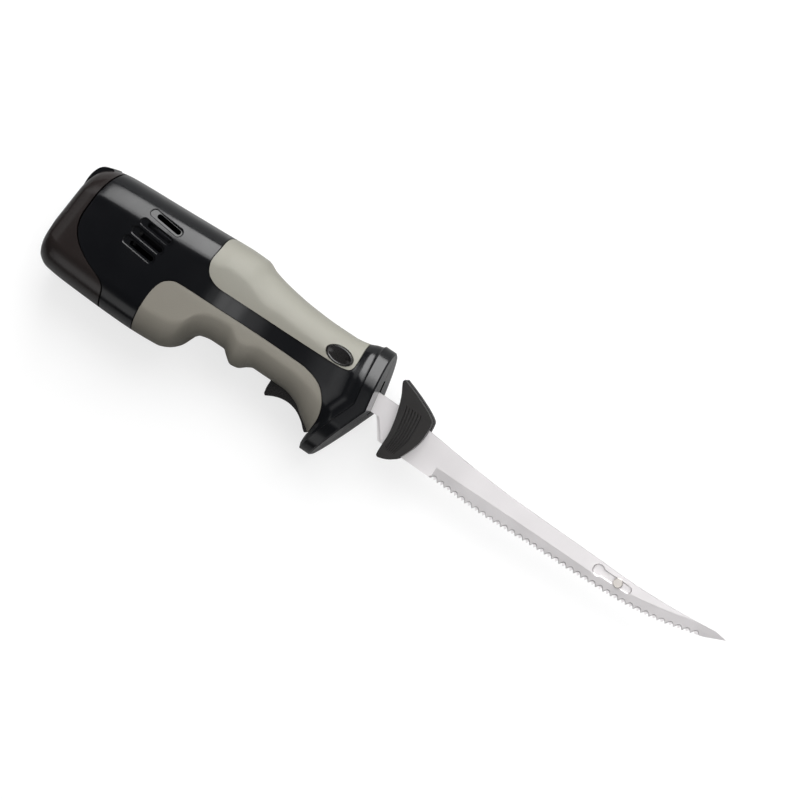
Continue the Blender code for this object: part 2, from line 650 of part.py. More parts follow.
def make_housing():
    """The two clamshell halves with their ribs, posts, pockets and openings."""
    cavity = tool("cavity", body_form(None, REAR_X + REAR_WALL, NOSE - FRONT_WALL, CAVITY_POINTS))
    high = CREST_TOP
    ribs = []
    motor = [tool(f"motor_seat_{i}", rod("X", (0, MOTOR_Y, 0), MOTOR_R + GAP, x - RIB, x + 2 * RIB))
             for i, x in enumerate(MOTOR_RIBS)]
    for i, x in enumerate(MOTOR_RIBS):
        rib = tool(f"motor_rib_{i}", box((x, x + RIB), (MOTOR_RIB_FOOT, high), (-FAR, FAR)))
        ribs.append(cut(rib, motor[i]))
    frame_out = FRAME_INNER + FRAME_WALL + GAP
    for i, x in enumerate(FRAME_RIBS):
        rib = tool(f"frame_rib_{i}", box((x, x + RIB), (-FAR, high), (-FAR, FAR)))
        seat = tool(f"frame_seat_{i}", box((x - RIB, x + 2 * RIB), (yoke_foot() - GAP, FRAME_TOP + GAP),
                                           (-frame_out, frame_out)))
        ribs.append(cut(rib, seat))
    guide_x = GUIDE_X + GUIDE_LENGTH / 2 - RIB / 2
    rib = tool("guide_rib", box((guide_x, guide_x + RIB), (-FAR, high), (-FAR, FAR)))
    guide_z, guide_y = guide_half()
    seat = tool("guide_seat", box((guide_x - RIB, guide_x + 2 * RIB), (-guide_y - GAP, guide_y + GAP),
                                  (-guide_z - GAP, guide_z + GAP)))
    ribs.append(cut(rib, seat))
    bulkhead = tool("bulkhead", box((BULKHEAD_X, BULKHEAD_X + BULKHEAD), (SOCKET_TOP + GAP, high),
                                    (-FAR, FAR)))
    window = tool("latch_window", box((BULKHEAD_X - GAP, BULKHEAD_X + BULKHEAD + GAP),
                                      (COVER_TOP - GAP, NOSE_TOP + GAP), (-ARM_HALF - GAP, ARM_HALF + GAP)))
    ribs.append(cut(bulkhead, window))
    ribs.append(tool("spring_shelf", box((SPRING_X - SPRING_R - GAP, SPRING_X + SPRING_R + GAP),
                                         (SHELF_FOOT, SHELF_FOOT + SHELF), (-FAR, FAR))))
    for side in (1, -1):
        name = side_name(side)
        cheek_x = SWITCH_REAR + SWITCH_LENGTH / 2
        ribs.append(tool("switch_cheek_" + name, sided(
            box((cheek_x - RIB, cheek_x + RIB), (-FAR, SWITCH_TOP),
                (SWITCH_HALF + GAP, FAR)), side)))
        ribs.append(tool("pivot_cheek_" + name, sided(
            box((PIVOT[0] - CHEEK_HALF, PIVOT[0] + CHEEK_HALF),
                (PIVOT[1] - CHEEK_HALF, PIVOT[1] + CHEEK_HALF),
                (TRIGGER_HALF + TRIGGER_SIDE_GAP, FAR)), side)))
        plug_x = BOARD_FRONT + GAP + PLUG_LENGTH / 2
        ribs.append(tool("plug_cheek_" + name, sided(
            box((plug_x - RIB / 2, plug_x + RIB / 2), (board_top() + GAP, SOCKET_TOP),
                (SOCKET_HALF + GAP, FAR)), side)))
    posts = merged(*[rod("Z", (x, y, 0), POST_R, -FAR, FAR, 12) for x, y in SCREWS])
    ribs.append(tool("screw_posts", posts))
    cut(cavity, *ribs)

    under_grip = tool("under_grip", body_form(GRIP_SKIN + GAP))
    grip_back = tool("grip_back", body_form(GRIP_SKIN))
    trigger_slot = tool("trigger_slot", prism(trigger_slot_outline(),
                                              -TRIGGER_HALF - TRIGGER_SIDE_GAP,
                                              TRIGGER_HALF + TRIGGER_SIDE_GAP))
    pin_bore = tool("pin_bore", rod("Z", (*PIVOT, 0), PIVOT_R + RUNNING, -PIN_HALF - GAP,
                                    PIN_HALF + GAP, 16))
    blade_slot = tool("blade_slot", box((NOSE - 0.030, NOSE + 0.010), (SLOT_FOOT, SLOT_TOP),
                                        (-SLOT_HALF, SLOT_HALF)))
    bores = []
    for i, (x, y) in enumerate(SCREWS):
        seat = screw_seat(x, y) + GAP
        profile = [(-FAR, 0), (-FAR, SCREW_HEAD_R + GAP), (seat, SCREW_HEAD_R + GAP),
                   (seat, SCREW_R + RUNNING), (SCREW_REACH + GAP, SCREW_R + RUNNING),
                   (SCREW_REACH + GAP, 0)]
        bores.append(tool(f"screw_bore_{i + 1}", turned(profile, "Z", (x, y, 0), 14)))
    front_zone = smoothed(PACK_SEAM, 2)
    front_zone = [(x + SEAM / 2, y) for x, y in front_zone] + [(NOSE + FAR, -FAR), (NOSE + FAR, 0.040)]

    for side in (1, -1):
        name = side_name(side)
        zone = tool("front_zone_" + name, sided(prism(front_zone, PART_GAP, FAR), side))
        pockets = []
        grips = []
        for label, outline in (("upper", UPPER_GRIP), ("lower", LOWER_GRIP)):
            edge = smoothed(outline, 2)
            pocket = tool(f"{label}_pocket_{name}", sided(
                prism(grown(edge, GAP), -PART_GAP * 4, FAR), side))
            pockets.append(cut(pocket, under_grip))
            grip = piece(f"{label}_grip_{name}", sided(prism(edge, PART_GAP, FAR), side), "soft_grey")
            body = tool(f"{label}_grip_body_{name}", body_form(0))
            keep_within(grip, body)
            cut(grip, grip_back)
            grips.append(grip)
        vents = []
        holes = []
        for i in range(VENT_COUNT):
            x = VENT_FIRST[0] + i * VENT_STEP[0]
            y = VENT_FIRST[1] + i * VENT_STEP[1]
            floor = side_at(x, y) - VENT_DEPTH
            vents.append(sided(prism(stadium((x, y), VENT_LENGTH, VENT_HEIGHT, VENT_TILT),
                                     floor, FAR), side))
            shift = (VENT_LENGTH - VENT_HOLE_LENGTH) / 2 - (VENT_HEIGHT - VENT_HOLE_HEIGHT) / 2
            hole = (x + shift * math.cos(VENT_TILT), y + shift * math.sin(VENT_TILT))
            holes.append(sided(prism(stadium(hole, VENT_HOLE_LENGTH, VENT_HOLE_HEIGHT, VENT_TILT),
                                     floor - 2 * REAR_WALL, FAR), side))
        vent_tool = tool("vents_" + name, merged(*vents))
        hole_tool = tool("vent_holes_" + name, merged(*holes))
        button_bore = tool("button_bore_" + name, sided(
            prism(oval(BUTTON, BUTTON_LENGTH + 2 * GAP, BUTTON_HEIGHT + 2 * GAP),
                  BUTTON_ROOT - BUTTON_TRAVEL - GAP, FAR), side))
        half = piece(name + "_housing", body_form(0), "black_shell")
        keep_within(half, zone)
        cut(half, cavity, *pockets, vent_tool, hole_tool, button_bore, trigger_slot, pin_bore,
            blade_slot, *bores)
        cut(grips[0], button_bore)
        cut(grips[1], trigger_slot)
        if side < 0:
            cut(grips[0], bores[3])
            cut(grips[1], bores[2])
    for i, (x, y) in enumerate(SCREWS):
        seat = screw_seat(x, y)
        profile = [(seat - SCREW_HEAD, 0), (seat - SCREW_HEAD, SCREW_HEAD_R), (seat, SCREW_HEAD_R),
                   (seat, SCREW_R), (SCREW_REACH, SCREW_R), (SCREW_REACH, 0)]
        piece(f"housing_screw_{i + 1}", turned(profile, "Z", (x, y, 0), 14), "plain_steel")
    return cavity


def screw_seat(x, y):
    """Height of the shoulder under a screw's head, sunk into the left half."""
    return SCREW_SINK - side_at(x, y)


def side_name(side):
    return "right" if side > 0 else "left"


def guide_half():
    """Half width and half height of the slider guide."""
    return BAR_OUT + GAP + GUIDE_RIM, BAR_HALF + GAP + GUIDE_RIM


def board_top():
    return CELL_Y + tray_r() + GAP + BOARD


def tray_r():
    return CELL_R + GAP + TRAY_WALL


def trigger_slot_outline():
    front = TRIGGER_FRONT + 2 * GAP
    rear = TRIGGER_REAR - 2 * GAP
    step = stop_foot() - GAP
    inner = TRIGGER_REAR - STOP_REACH - 3 * GAP
    return [(rear, -FAR), (front, -FAR), (front, SLOT_CEILING), (inner, SLOT_CEILING), (inner, step),
            (rear, step)]


def wheel_y():
    """Height of the wheel's axle, so that its teeth run just under the worm."""
    return MOTOR_Y - WORM_R - GAP - WHEEL_R


def yoke_foot():
    return wheel_y() - CAM_R - CRANK_THROW - GAP - YOKE_RIM


def make_motor():
    """Can, end cap, magnets, and the armature on its shaft with the worm."""
    axis = (0, MOTOR_Y, 0)
    front = MOTOR_REAR + MOTOR_LENGTH
    inner = MOTOR_R - CAN_WALL
    bore = SHAFT_R + RUNNING
    can = [(MOTOR_REAR, inner), (MOTOR_REAR, MOTOR_R), (front, MOTOR_R), (front, bore),
           (front - 2 * CAN_WALL, bore), (front - 2 * CAN_WALL, inner)]
    piece("motor_can", turned(can, "X", axis, 32), "zinc")
    cap_front = MOTOR_REAR - GAP
    cap = [(cap_front - ENDCAP, bore), (cap_front - ENDCAP, MOTOR_R), (cap_front, MOTOR_R),
           (cap_front, bore)]
    piece("motor_endcap", turned(cap, "X", axis, 32), "matte_black")
    core_rear = MOTOR_REAR + 0.0080
    core_front = front - 0.0080
    shaft_rear = cap_front - ENDCAP - SHAFT_REAR_END
    shaft_front = frame_front()
    rotor = [(shaft_rear, 0), (shaft_rear, SHAFT_R), (core_rear - 0.005, SHAFT_R),
             (core_rear - 0.005, 2.4 * SHAFT_R), (core_rear, 2.4 * SHAFT_R), (core_rear, ARMATURE_R),
             (core_front, ARMATURE_R), (core_front, SHAFT_R), (shaft_front, SHAFT_R),
             (shaft_front, 0)]
    piece("motor_armature", turned(rotor, "X", axis, 20), "copper", (WHEEL_X, MOTOR_Y, 0))
    outer = inner - RUNNING
    for label, tilt in (("upper", 90), ("lower", -90)):
        angles = [math.radians(tilt - 60 + 12 * i) for i in range(11)]
        arc = [(outer * math.cos(a), outer * math.sin(a)) for a in angles]
        arc += [((outer - MAGNET_WALL) * math.cos(a), (outer - MAGNET_WALL) * math.sin(a))
                for a in reversed(angles)]
        magnet = prism(arc, core_rear, core_front)
        turn = Matrix(((0, 0, 1, 0), (0, 1, 0, MOTOR_Y), (1, 0, 0, 0), (0, 0, 0, 1)))
        bmesh.ops.transform(magnet, matrix=turn, verts=magnet.verts)
        piece("motor_magnet_" + label, magnet, "magnet")
    piece("worm", worm_shape(), "plain_steel", (WHEEL_X, MOTOR_Y, 0))


def worm_shape():
    """Cylinder with one helical thread, bored for the shaft."""
    around = 16
    per_pitch = 4
    low = WHEEL_X - WORM_LENGTH / 2
    steps = round(WORM_LENGTH / WORM_PITCH * per_pitch)
    shape = bmesh.new()
    rings = []
    for i in range(steps + 1):
        x = low + WORM_LENGTH * i / steps
        ring = []
        for k in range(around):
            phase = ((x - low) / WORM_PITCH - k / around) % 1
            height = WORM_THREAD * (0.5 + 0.5 * math.cos(2 * math.pi * phase))
            if i in (0, steps):
                height = 0
            radius = WORM_R - WORM_THREAD + height
            turn = 2 * math.pi * k / around
            ring.append(shape.verts.new((x, MOTOR_Y + radius * math.cos(turn),
                                         radius * math.sin(turn))))
        rings.append(ring)
    for x in (low + WORM_LENGTH, low):
        bore = SHAFT_R + RUNNING
        turns = [2 * math.pi * k / around for k in range(around)]
        rings.append([shape.verts.new((x, MOTOR_Y + bore * math.cos(t), bore * math.sin(t)))
                      for t in turns])
    for one, two in zip(rings, rings[1:] + rings[:1]):
        for k in range(around):
            j = (k + 1) % around
            shape.faces.new((one[k], one[j], two[j], two[k]))
    return shape


def frame_front():
    """Front face of the gear frame, past the wheel's rim."""
    return WHEEL_X + WHEEL_R + GAP + FRAME_PLATE


def make_gears():
    """Eccentric wheel on its axle, in the frame screwed to the motor's face."""
    y = wheel_y()
    outline = []
    for i in range(WHEEL_TEETH):
        for share, depth in ((0.0, TOOTH_DEPTH), (0.3, TOOTH_DEPTH), (0.42, 0), (0.88, 0)):
            turn = 2 * math.pi * (i + share) / WHEEL_TEETH
            radius = WHEEL_R - depth
            outline.append((WHEEL_X + radius * math.cos(turn), y + radius * math.sin(turn)))
    wheel = piece("eccentric_wheel", prism(outline, -WHEEL_HALF, WHEEL_HALF), "acetal", (WHEEL_X, y, 0))
    for side in (1, -1):
        cam = rod("Z", (WHEEL_X, y + side * CRANK_THROW, 0), CAM_R, WHEEL_HALF / 2, CAM_END, 28)
        join(wheel, tool("cam_" + side_name(side), sided(cam, side)))
    cut(wheel, tool("wheel_bore", rod("Z", (WHEEL_X, y, 0), AXLE_R + RUNNING, -FAR, FAR)))
    outer = FRAME_INNER + FRAME_WALL
    piece("wheel_axle", rod("Z", (WHEEL_X, y, 0), AXLE_R, -outer, outer), "plain_steel")

    rear = MOTOR_REAR + MOTOR_LENGTH + GAP
    front = frame_front()
    step_x = TRAY_REAR + TRAY_WALL + CELL_LENGTH + 4 * GAP
    neck_y = SOCKET_TOP + 4 * GAP
    side_plate = [(rear, neck_y), (step_x, neck_y), (step_x, FRAME_FOOT), (front, FRAME_FOOT),
                  (front, FRAME_TOP), (rear, FRAME_TOP)]
    frame = piece("gear_frame", prism(side_plate, -outer, outer), "zinc")
    inside = tool("frame_inside", box((rear + FRAME_PLATE, front - FRAME_PLATE), (-FAR, FAR),
                                      (-FRAME_INNER, FRAME_INNER)))
    yoke_top = y + CAM_R + CRANK_THROW + GAP + YOKE_RIM
    exit_box = tool("frame_exit", box((front - 2 * FRAME_PLATE, front + FRAME_PLATE),
                                      (-FAR, yoke_top + GAP), (-FRAME_INNER, FRAME_INNER)))
    shaft_bore = tool("frame_shaft_bore", rod("X", (0, MOTOR_Y, 0), SHAFT_R + RUNNING, rear - GAP,
                                              front + GAP))
    axle_bore = tool("frame_axle_bore", rod("Z", (WHEEL_X, y, 0), AXLE_R + RUNNING, -FAR, FAR))
    cut(frame, inside, exit_box, shaft_bore, axle_bore)


def make_drivers():
    """The two sliders that turn the cams' rotation into opposite strokes of the blades."""
    y = wheel_y()
    half_x = CAM_R + SWEEP_ERROR * CRANK_THROW + GAP
    half_y = CAM_R + CRANK_THROW + GAP
    yoke_front = WHEEL_X + half_x + YOKE_RIM
    jog_rear = WHEEL_X + WHEEL_R + CRANK_THROW + 2 * GAP
    jog_front = jog_rear + JOG
    low_top = y + half_y + YOKE_RIM - 2 * GAP
    for side in (1, -1):
        name = side_name(side)
        yoke = [(WHEEL_X - half_x - YOKE_RIM, y - half_y - YOKE_RIM), (yoke_front, y - half_y - YOKE_RIM),
                (yoke_front, -BAR_HALF), (jog_front, -BAR_HALF), (jog_front, low_top),
                (yoke_front, low_top), (yoke_front, y + half_y + YOKE_RIM),
                (WHEEL_X - half_x - YOKE_RIM, y + half_y + YOKE_RIM)]
        driver = piece("driver_" + name, sided(prism(yoke, YOKE_IN, YOKE_OUT), side), "acetal")
        window = tool("yoke_window_" + name, sided(
            box((WHEEL_X - half_x, WHEEL_X + half_x), (y - half_y, y + half_y), (0, FAR)), side))
        cut(driver, window)
        jog = tool("jog_" + name, sided(box((jog_rear, jog_front - GAP), (-BAR_HALF, low_top),
                                            (PART_GAP, YOKE_OUT)), side))
        bar = [(jog_rear, -BAR_HALF), (BAR_FRONT, -BAR_HALF), (BAR_FRONT, BAR_HALF),
               (jog_front + 2 * JOG, BAR_HALF), (jog_front + JOG, low_top), (jog_rear, low_top)]
        bar_tool = tool("bar_" + name, sided(prism(bar, PART_GAP, BAR_OUT), side))
        join(driver, jog, bar_tool)
        channel = tool("tang_channel_" + name, sided(
            box((BAR_FRONT - SOCKET_DEPTH, BAR_FRONT + FAR), (SHANK_FOOT - GAP, SHANK_TOP + GAP),
                (-PART_GAP, PART_GAP + BLADE_THICKNESS + GAP)), side))
        clip_window = tool("clip_window_" + name, sided(
            box(CLIP_WINDOW, (-CLIP_HALF, CLIP_HALF), (0, FAR)), side))
        cut(driver, channel, clip_window)
        make_clip(side)
    guide_z, guide_y = guide_half()
    guide = piece("slider_guide", box((GUIDE_X, GUIDE_X + GUIDE_LENGTH), (-guide_y, guide_y),
                                      (-guide_z, guide_z)), "acetal")
    cut(guide, tool("guide_way", box((GUIDE_X - GAP, GUIDE_X + GUIDE_LENGTH + GAP),
                                     (-BAR_HALF - GAP, BAR_HALF + GAP),
                                     (-BAR_OUT - GAP, BAR_OUT + GAP))))


def make_clip(side):
    """Leaf clip on a driver: its nose reaches for the tang, its pad lies under the button's stem."""
    name = side_name(side)
    low = BAR_OUT + GAP
    pad = (BUTTON[0] - CLIP_PAD, BUTTON[0] + CLIP_PAD)
    top = BUTTON[1] + STEM_R
    leaf = [(CLIP_REAR, -CLIP_HALF), (pad[1], -CLIP_HALF), (pad[1], top), (pad[0], top),
            (pad[0], CLIP_HALF), (CLIP_REAR, CLIP_HALF)]
    clip = piece("blade_clip_" + name, sided(prism(leaf, low, low + CLIP_THICKNESS), side),
                 "plain_steel")
    nose = box((CLIP_WINDOW[0] + GAP, CLIP_WINDOW[1] - GAP), (GAP - CLIP_HALF, CLIP_HALF - GAP),
               (PART_GAP + BLADE_THICKNESS + 2 * GAP, low + CLIP_THICKNESS / 2))
    join(clip, tool("clip_nose_" + name, sided(nose, side)))


def make_buttons():
    """Oval push buttons, with ears inside the shell and a stem over the clip's pad."""
    top = side_at(BUTTON[0] + 0.003, BUTTON[1]) + BUTTON_PROUD
    steps = [(1.0, BUTTON_ROOT), (1.0, top - 0.0006), (0.94, top), (0.80, top - 0.0002),
             (0.45, top - 0.0006)]
    stem_end = BAR_OUT + 2 * GAP + CLIP_THICKNESS
    for side in (1, -1):
        name = side_name(side)
        shape = bmesh.new()
        rings = []
        for share, z in steps:
            ring = oval(BUTTON, BUTTON_LENGTH * share, BUTTON_HEIGHT * share)
            rings.append([shape.verts.new((x, y, z)) for x, y in ring])
        for one, two in zip(rings, rings[1:]):
            for k in range(len(one)):
                j = (k + 1) % len(one)
                shape.faces.new((one[k], one[j], two[j], two[k]))
        shape.faces.new(rings[0])
        shape.faces.new(rings[-1])
        button = piece("release_button_" + name, sided(shape, side), "matte_black")
        reach = BUTTON_LENGTH / 2 + EAR_REACH
        ears = box((BUTTON[0] - reach, BUTTON[0] + reach),
                   (BUTTON[1] - BUTTON_HEIGHT / 2, BUTTON[1] + BUTTON_HEIGHT / 8),
                   (BUTTON_ROOT - BUTTON_EAR / 2, BUTTON_ROOT + BUTTON_EAR / 2))
        stem = rod("Z", (*BUTTON, 0), STEM_R, stem_end, BUTTON_ROOT + BUTTON_EAR, 16)
        join(button, tool("button_ears_" + name, sided(ears, side)),
             tool("button_stem_" + name, sided(stem, side)))


def make_trigger():
    """Concave trigger on its pin, its spring, and the snap switch that it works."""
    x, y = PIVOT
    finger = smoothed(TRIGGER_CURVE, 2)
    boss = [(x + PIVOT_BOSS_R * math.cos(a), y + PIVOT_BOSS_R * math.sin(a))
            for a in (math.radians(20 * i - 20) for i in range(7))]
    inside = [(SPRING_X + SPRING_R, TRIGGER_TOP), (PLUNGER_X + 2 * PLUNGER_R, TRIGGER_TOP),
              (PLUNGER_X + PLUNGER_R, PAD_TOP), (PLUNGER_X - PLUNGER_R, PAD_TOP),
              (PLUNGER_X - 2 * PLUNGER_R, TRIGGER_TOP), (TRIGGER_REAR + STOP_REACH, TRIGGER_TOP),
              (TRIGGER_REAR + STOP_REACH, STOP_TOP), (TRIGGER_REAR - STOP_REACH, STOP_TOP),
              (TRIGGER_REAR - STOP_REACH, stop_foot()), (TRIGGER_REAR, stop_foot()),
              (TRIGGER_REAR, -0.0245), (TRIGGER_REAR + 0.0006, -0.0280)]
    trigger = piece("trigger", prism(finger + boss + inside, -TRIGGER_HALF, TRIGGER_HALF),
                    "matte_black", (x, y, 0))
    cut(trigger, tool("trigger_bore", rod("Z", (x, y, 0), PIVOT_R + RUNNING, -FAR, FAR, 16)))
    piece("trigger_pin", rod("Z", (x, y, 0), PIVOT_R, -PIN_HALF, PIN_HALF, 16), "plain_steel")
    piece("trigger_spring", coil("Y", (SPRING_X, 0, 0), SPRING_R - 0.0003, 0.0003,
                                 TRIGGER_TOP + GAP, SHELF_FOOT - GAP, 4), "plain_steel")
    switch = piece("switch_body", box((SWITCH_REAR, SWITCH_REAR + SWITCH_LENGTH),
                                      (SWITCH_FOOT, SWITCH_TOP), (-SWITCH_HALF, SWITCH_HALF)),
                   "matte_black")
    low = PAD_TOP + GAP
    top = low + PLUNGER_LENGTH
    cut(switch, tool("plunger_bore", rod("Y", (PLUNGER_X, 0, 0), PLUNGER_R + RUNNING,
                                         SWITCH_FOOT - GAP, top + PLUNGER_TRAVEL + GAP, 16)))
    piece("switch_plunger", rod("Y", (PLUNGER_X, 0, 0), PLUNGER_R, low, top, 16), "acetal")


def stop_foot():
    """Underside of the trigger's stop, just over the housing's floor."""
    return FINGER + GRIP_WALL + 2 * GAP


def blade_outline(shift):
    """Outline of one blade. The shift sets back its heel and teeth."""
    heel = [(x - shift, y) for x, y in HEEL]
    spine = [(x, y) for x, y in SPINE]
    top = [(TANG_REAR, SHANK_TOP), (spine[0][0] - 0.006, SHANK_TOP)] + smoothed(spine, 2)
    edge = smoothed(EDGE, 6)
    envelope = sorted(edge)
    points = [(TANG_REAR, SHANK_FOOT), heel[0], heel[1], (EDGE[0][0] - TOOTH_PITCH, EDGE[0][1])]
    count = int((EDGE[-1][0] - EDGE[0][0]) / TOOTH_PITCH)
    for i in range(count):
        start = EDGE[0][0] - shift + i * TOOTH_PITCH
        points.append((start, line_at(envelope, start)))
        for k in range(1, GULLET_POINTS):
            turn = math.pi * k / GULLET_POINTS
            x = start + TOOTH_PITCH * (0.5 - 0.42 * math.cos(turn))
            points.append((x, line_at(envelope, x) + GULLET_DEPTH * math.sin(turn)))
    last = EDGE[0][0] - shift + count * TOOTH_PITCH
    points += [(last, line_at(envelope, last)), (TIP_X, TIP_Y)]
    return points + top[::-1]


def make_blades():
    """Two toothed blades side by side, tied near the tip by a headed rivet in a key-hole slot."""
    inner = PART_GAP
    outer = PART_GAP + BLADE_THICKNESS
    for side, shift in ((1, 0), (-1, FAR_HEEL_OFFSET)):
        name = side_name(side)
        blade = piece("blade_" + name, sided(prism(blade_outline(shift), inner, outer), side),
                      "blade_steel")
        pegs = merged(*[rod("Z", (x, y, 0), PEG_R + RUNNING, -FAR, FAR, 14) for x, y in GUARD_PEGS])
        cut(blade, tool("peg_holes_" + name, pegs))
        if side > 0:
            middle = (KEYHOLE_X[0] + KEYHOLE_X[1]) / 2
            slot = prism(stadium((middle, KEYHOLE_Y), KEYHOLE_X[1] - KEYHOLE_X[0],
                                 2 * KEYHOLE_HALF, 0), -FAR, FAR)
            entry = rod("Z", (KEYHOLE_X[0], KEYHOLE_Y, 0), KEYHOLE_ENTRY_R, -FAR, FAR)
            cut(blade, tool("keyhole", slot), tool("keyhole_entry", entry))
        else:
            hole = rod("Z", (RIVET_X, KEYHOLE_Y, 0), RIVET_R + RUNNING, -FAR, FAR, 16)
            cut(blade, tool("rivet_hole", hole))
        make_guard(side)
    seat = outer + GAP
    rivet = [(-outer - RIVET_HEAD, 0), (-outer - RIVET_HEAD, RIVET_HEAD_R * 0.8),
             (-outer - GAP, RIVET_HEAD_R * 0.8), (-outer - GAP, RIVET_R), (seat, RIVET_R),
             (seat, RIVET_HEAD_R), (seat + RIVET_HEAD * 0.5, RIVET_HEAD_R),
             (seat + RIVET_HEAD, RIVET_HEAD_R * 0.7), (seat + RIVET_HEAD, 0)]
    piece("blade_rivet", turned(rivet, "Z", (RIVET_X, KEYHOLE_Y, 0), 20), "plain_steel")


def make_guard(side):
    """Crescent finger guard on a blade's outer face, with pegs through the blade."""
    name = side_name(side)
    low = PART_GAP + BLADE_THICKNESS + GAP
    edge = smoothed(GUARD_OUTLINE + GUARD_OUTLINE[:1], 2)[:-1]
    inset = grown(edge, -GUARD_EASE)
    shape = bmesh.new()
    rings = []
    for outline, z in ((edge, low), (edge, low + GUARD_THICKNESS - GUARD_EASE),
                       (inset, low + GUARD_THICKNESS)):
        rings.append([shape.verts.new((x, y, z)) for x, y in outline])
    for one, two in zip(rings, rings[1:]):
        for k in range(len(one)):
            j = (k + 1) % len(one)
            shape.faces.new((one[k], one[j], two[j], two[k]))
    shape.faces.new(rings[0])
    shape.faces.new(rings[-1])
    guard = piece("blade_guard_" + name, sided(shape, side), "matte_black")
    pegs = merged(*[rod("Z", (x, y, 0), PEG_R, PART_GAP, low + GUARD_THICKNESS / 2, 14)
                    for x, y in GUARD_PEGS])
    join(guard, tool("guard_pegs_" + name, sided(pegs, side)))


def rotated_box(across, along, half):
    """Block on the diagonal of the rear top corner, for the latch and its pocket."""
    corners = []
    for a, b in ((across[0], along[0]), (across[1], along[0]), (across[1], along[1]),
                 (across[0], along[1])):
        corners.append(((a + b) / 2, (a - b) / 2))
    return prism(corners, -half, half)


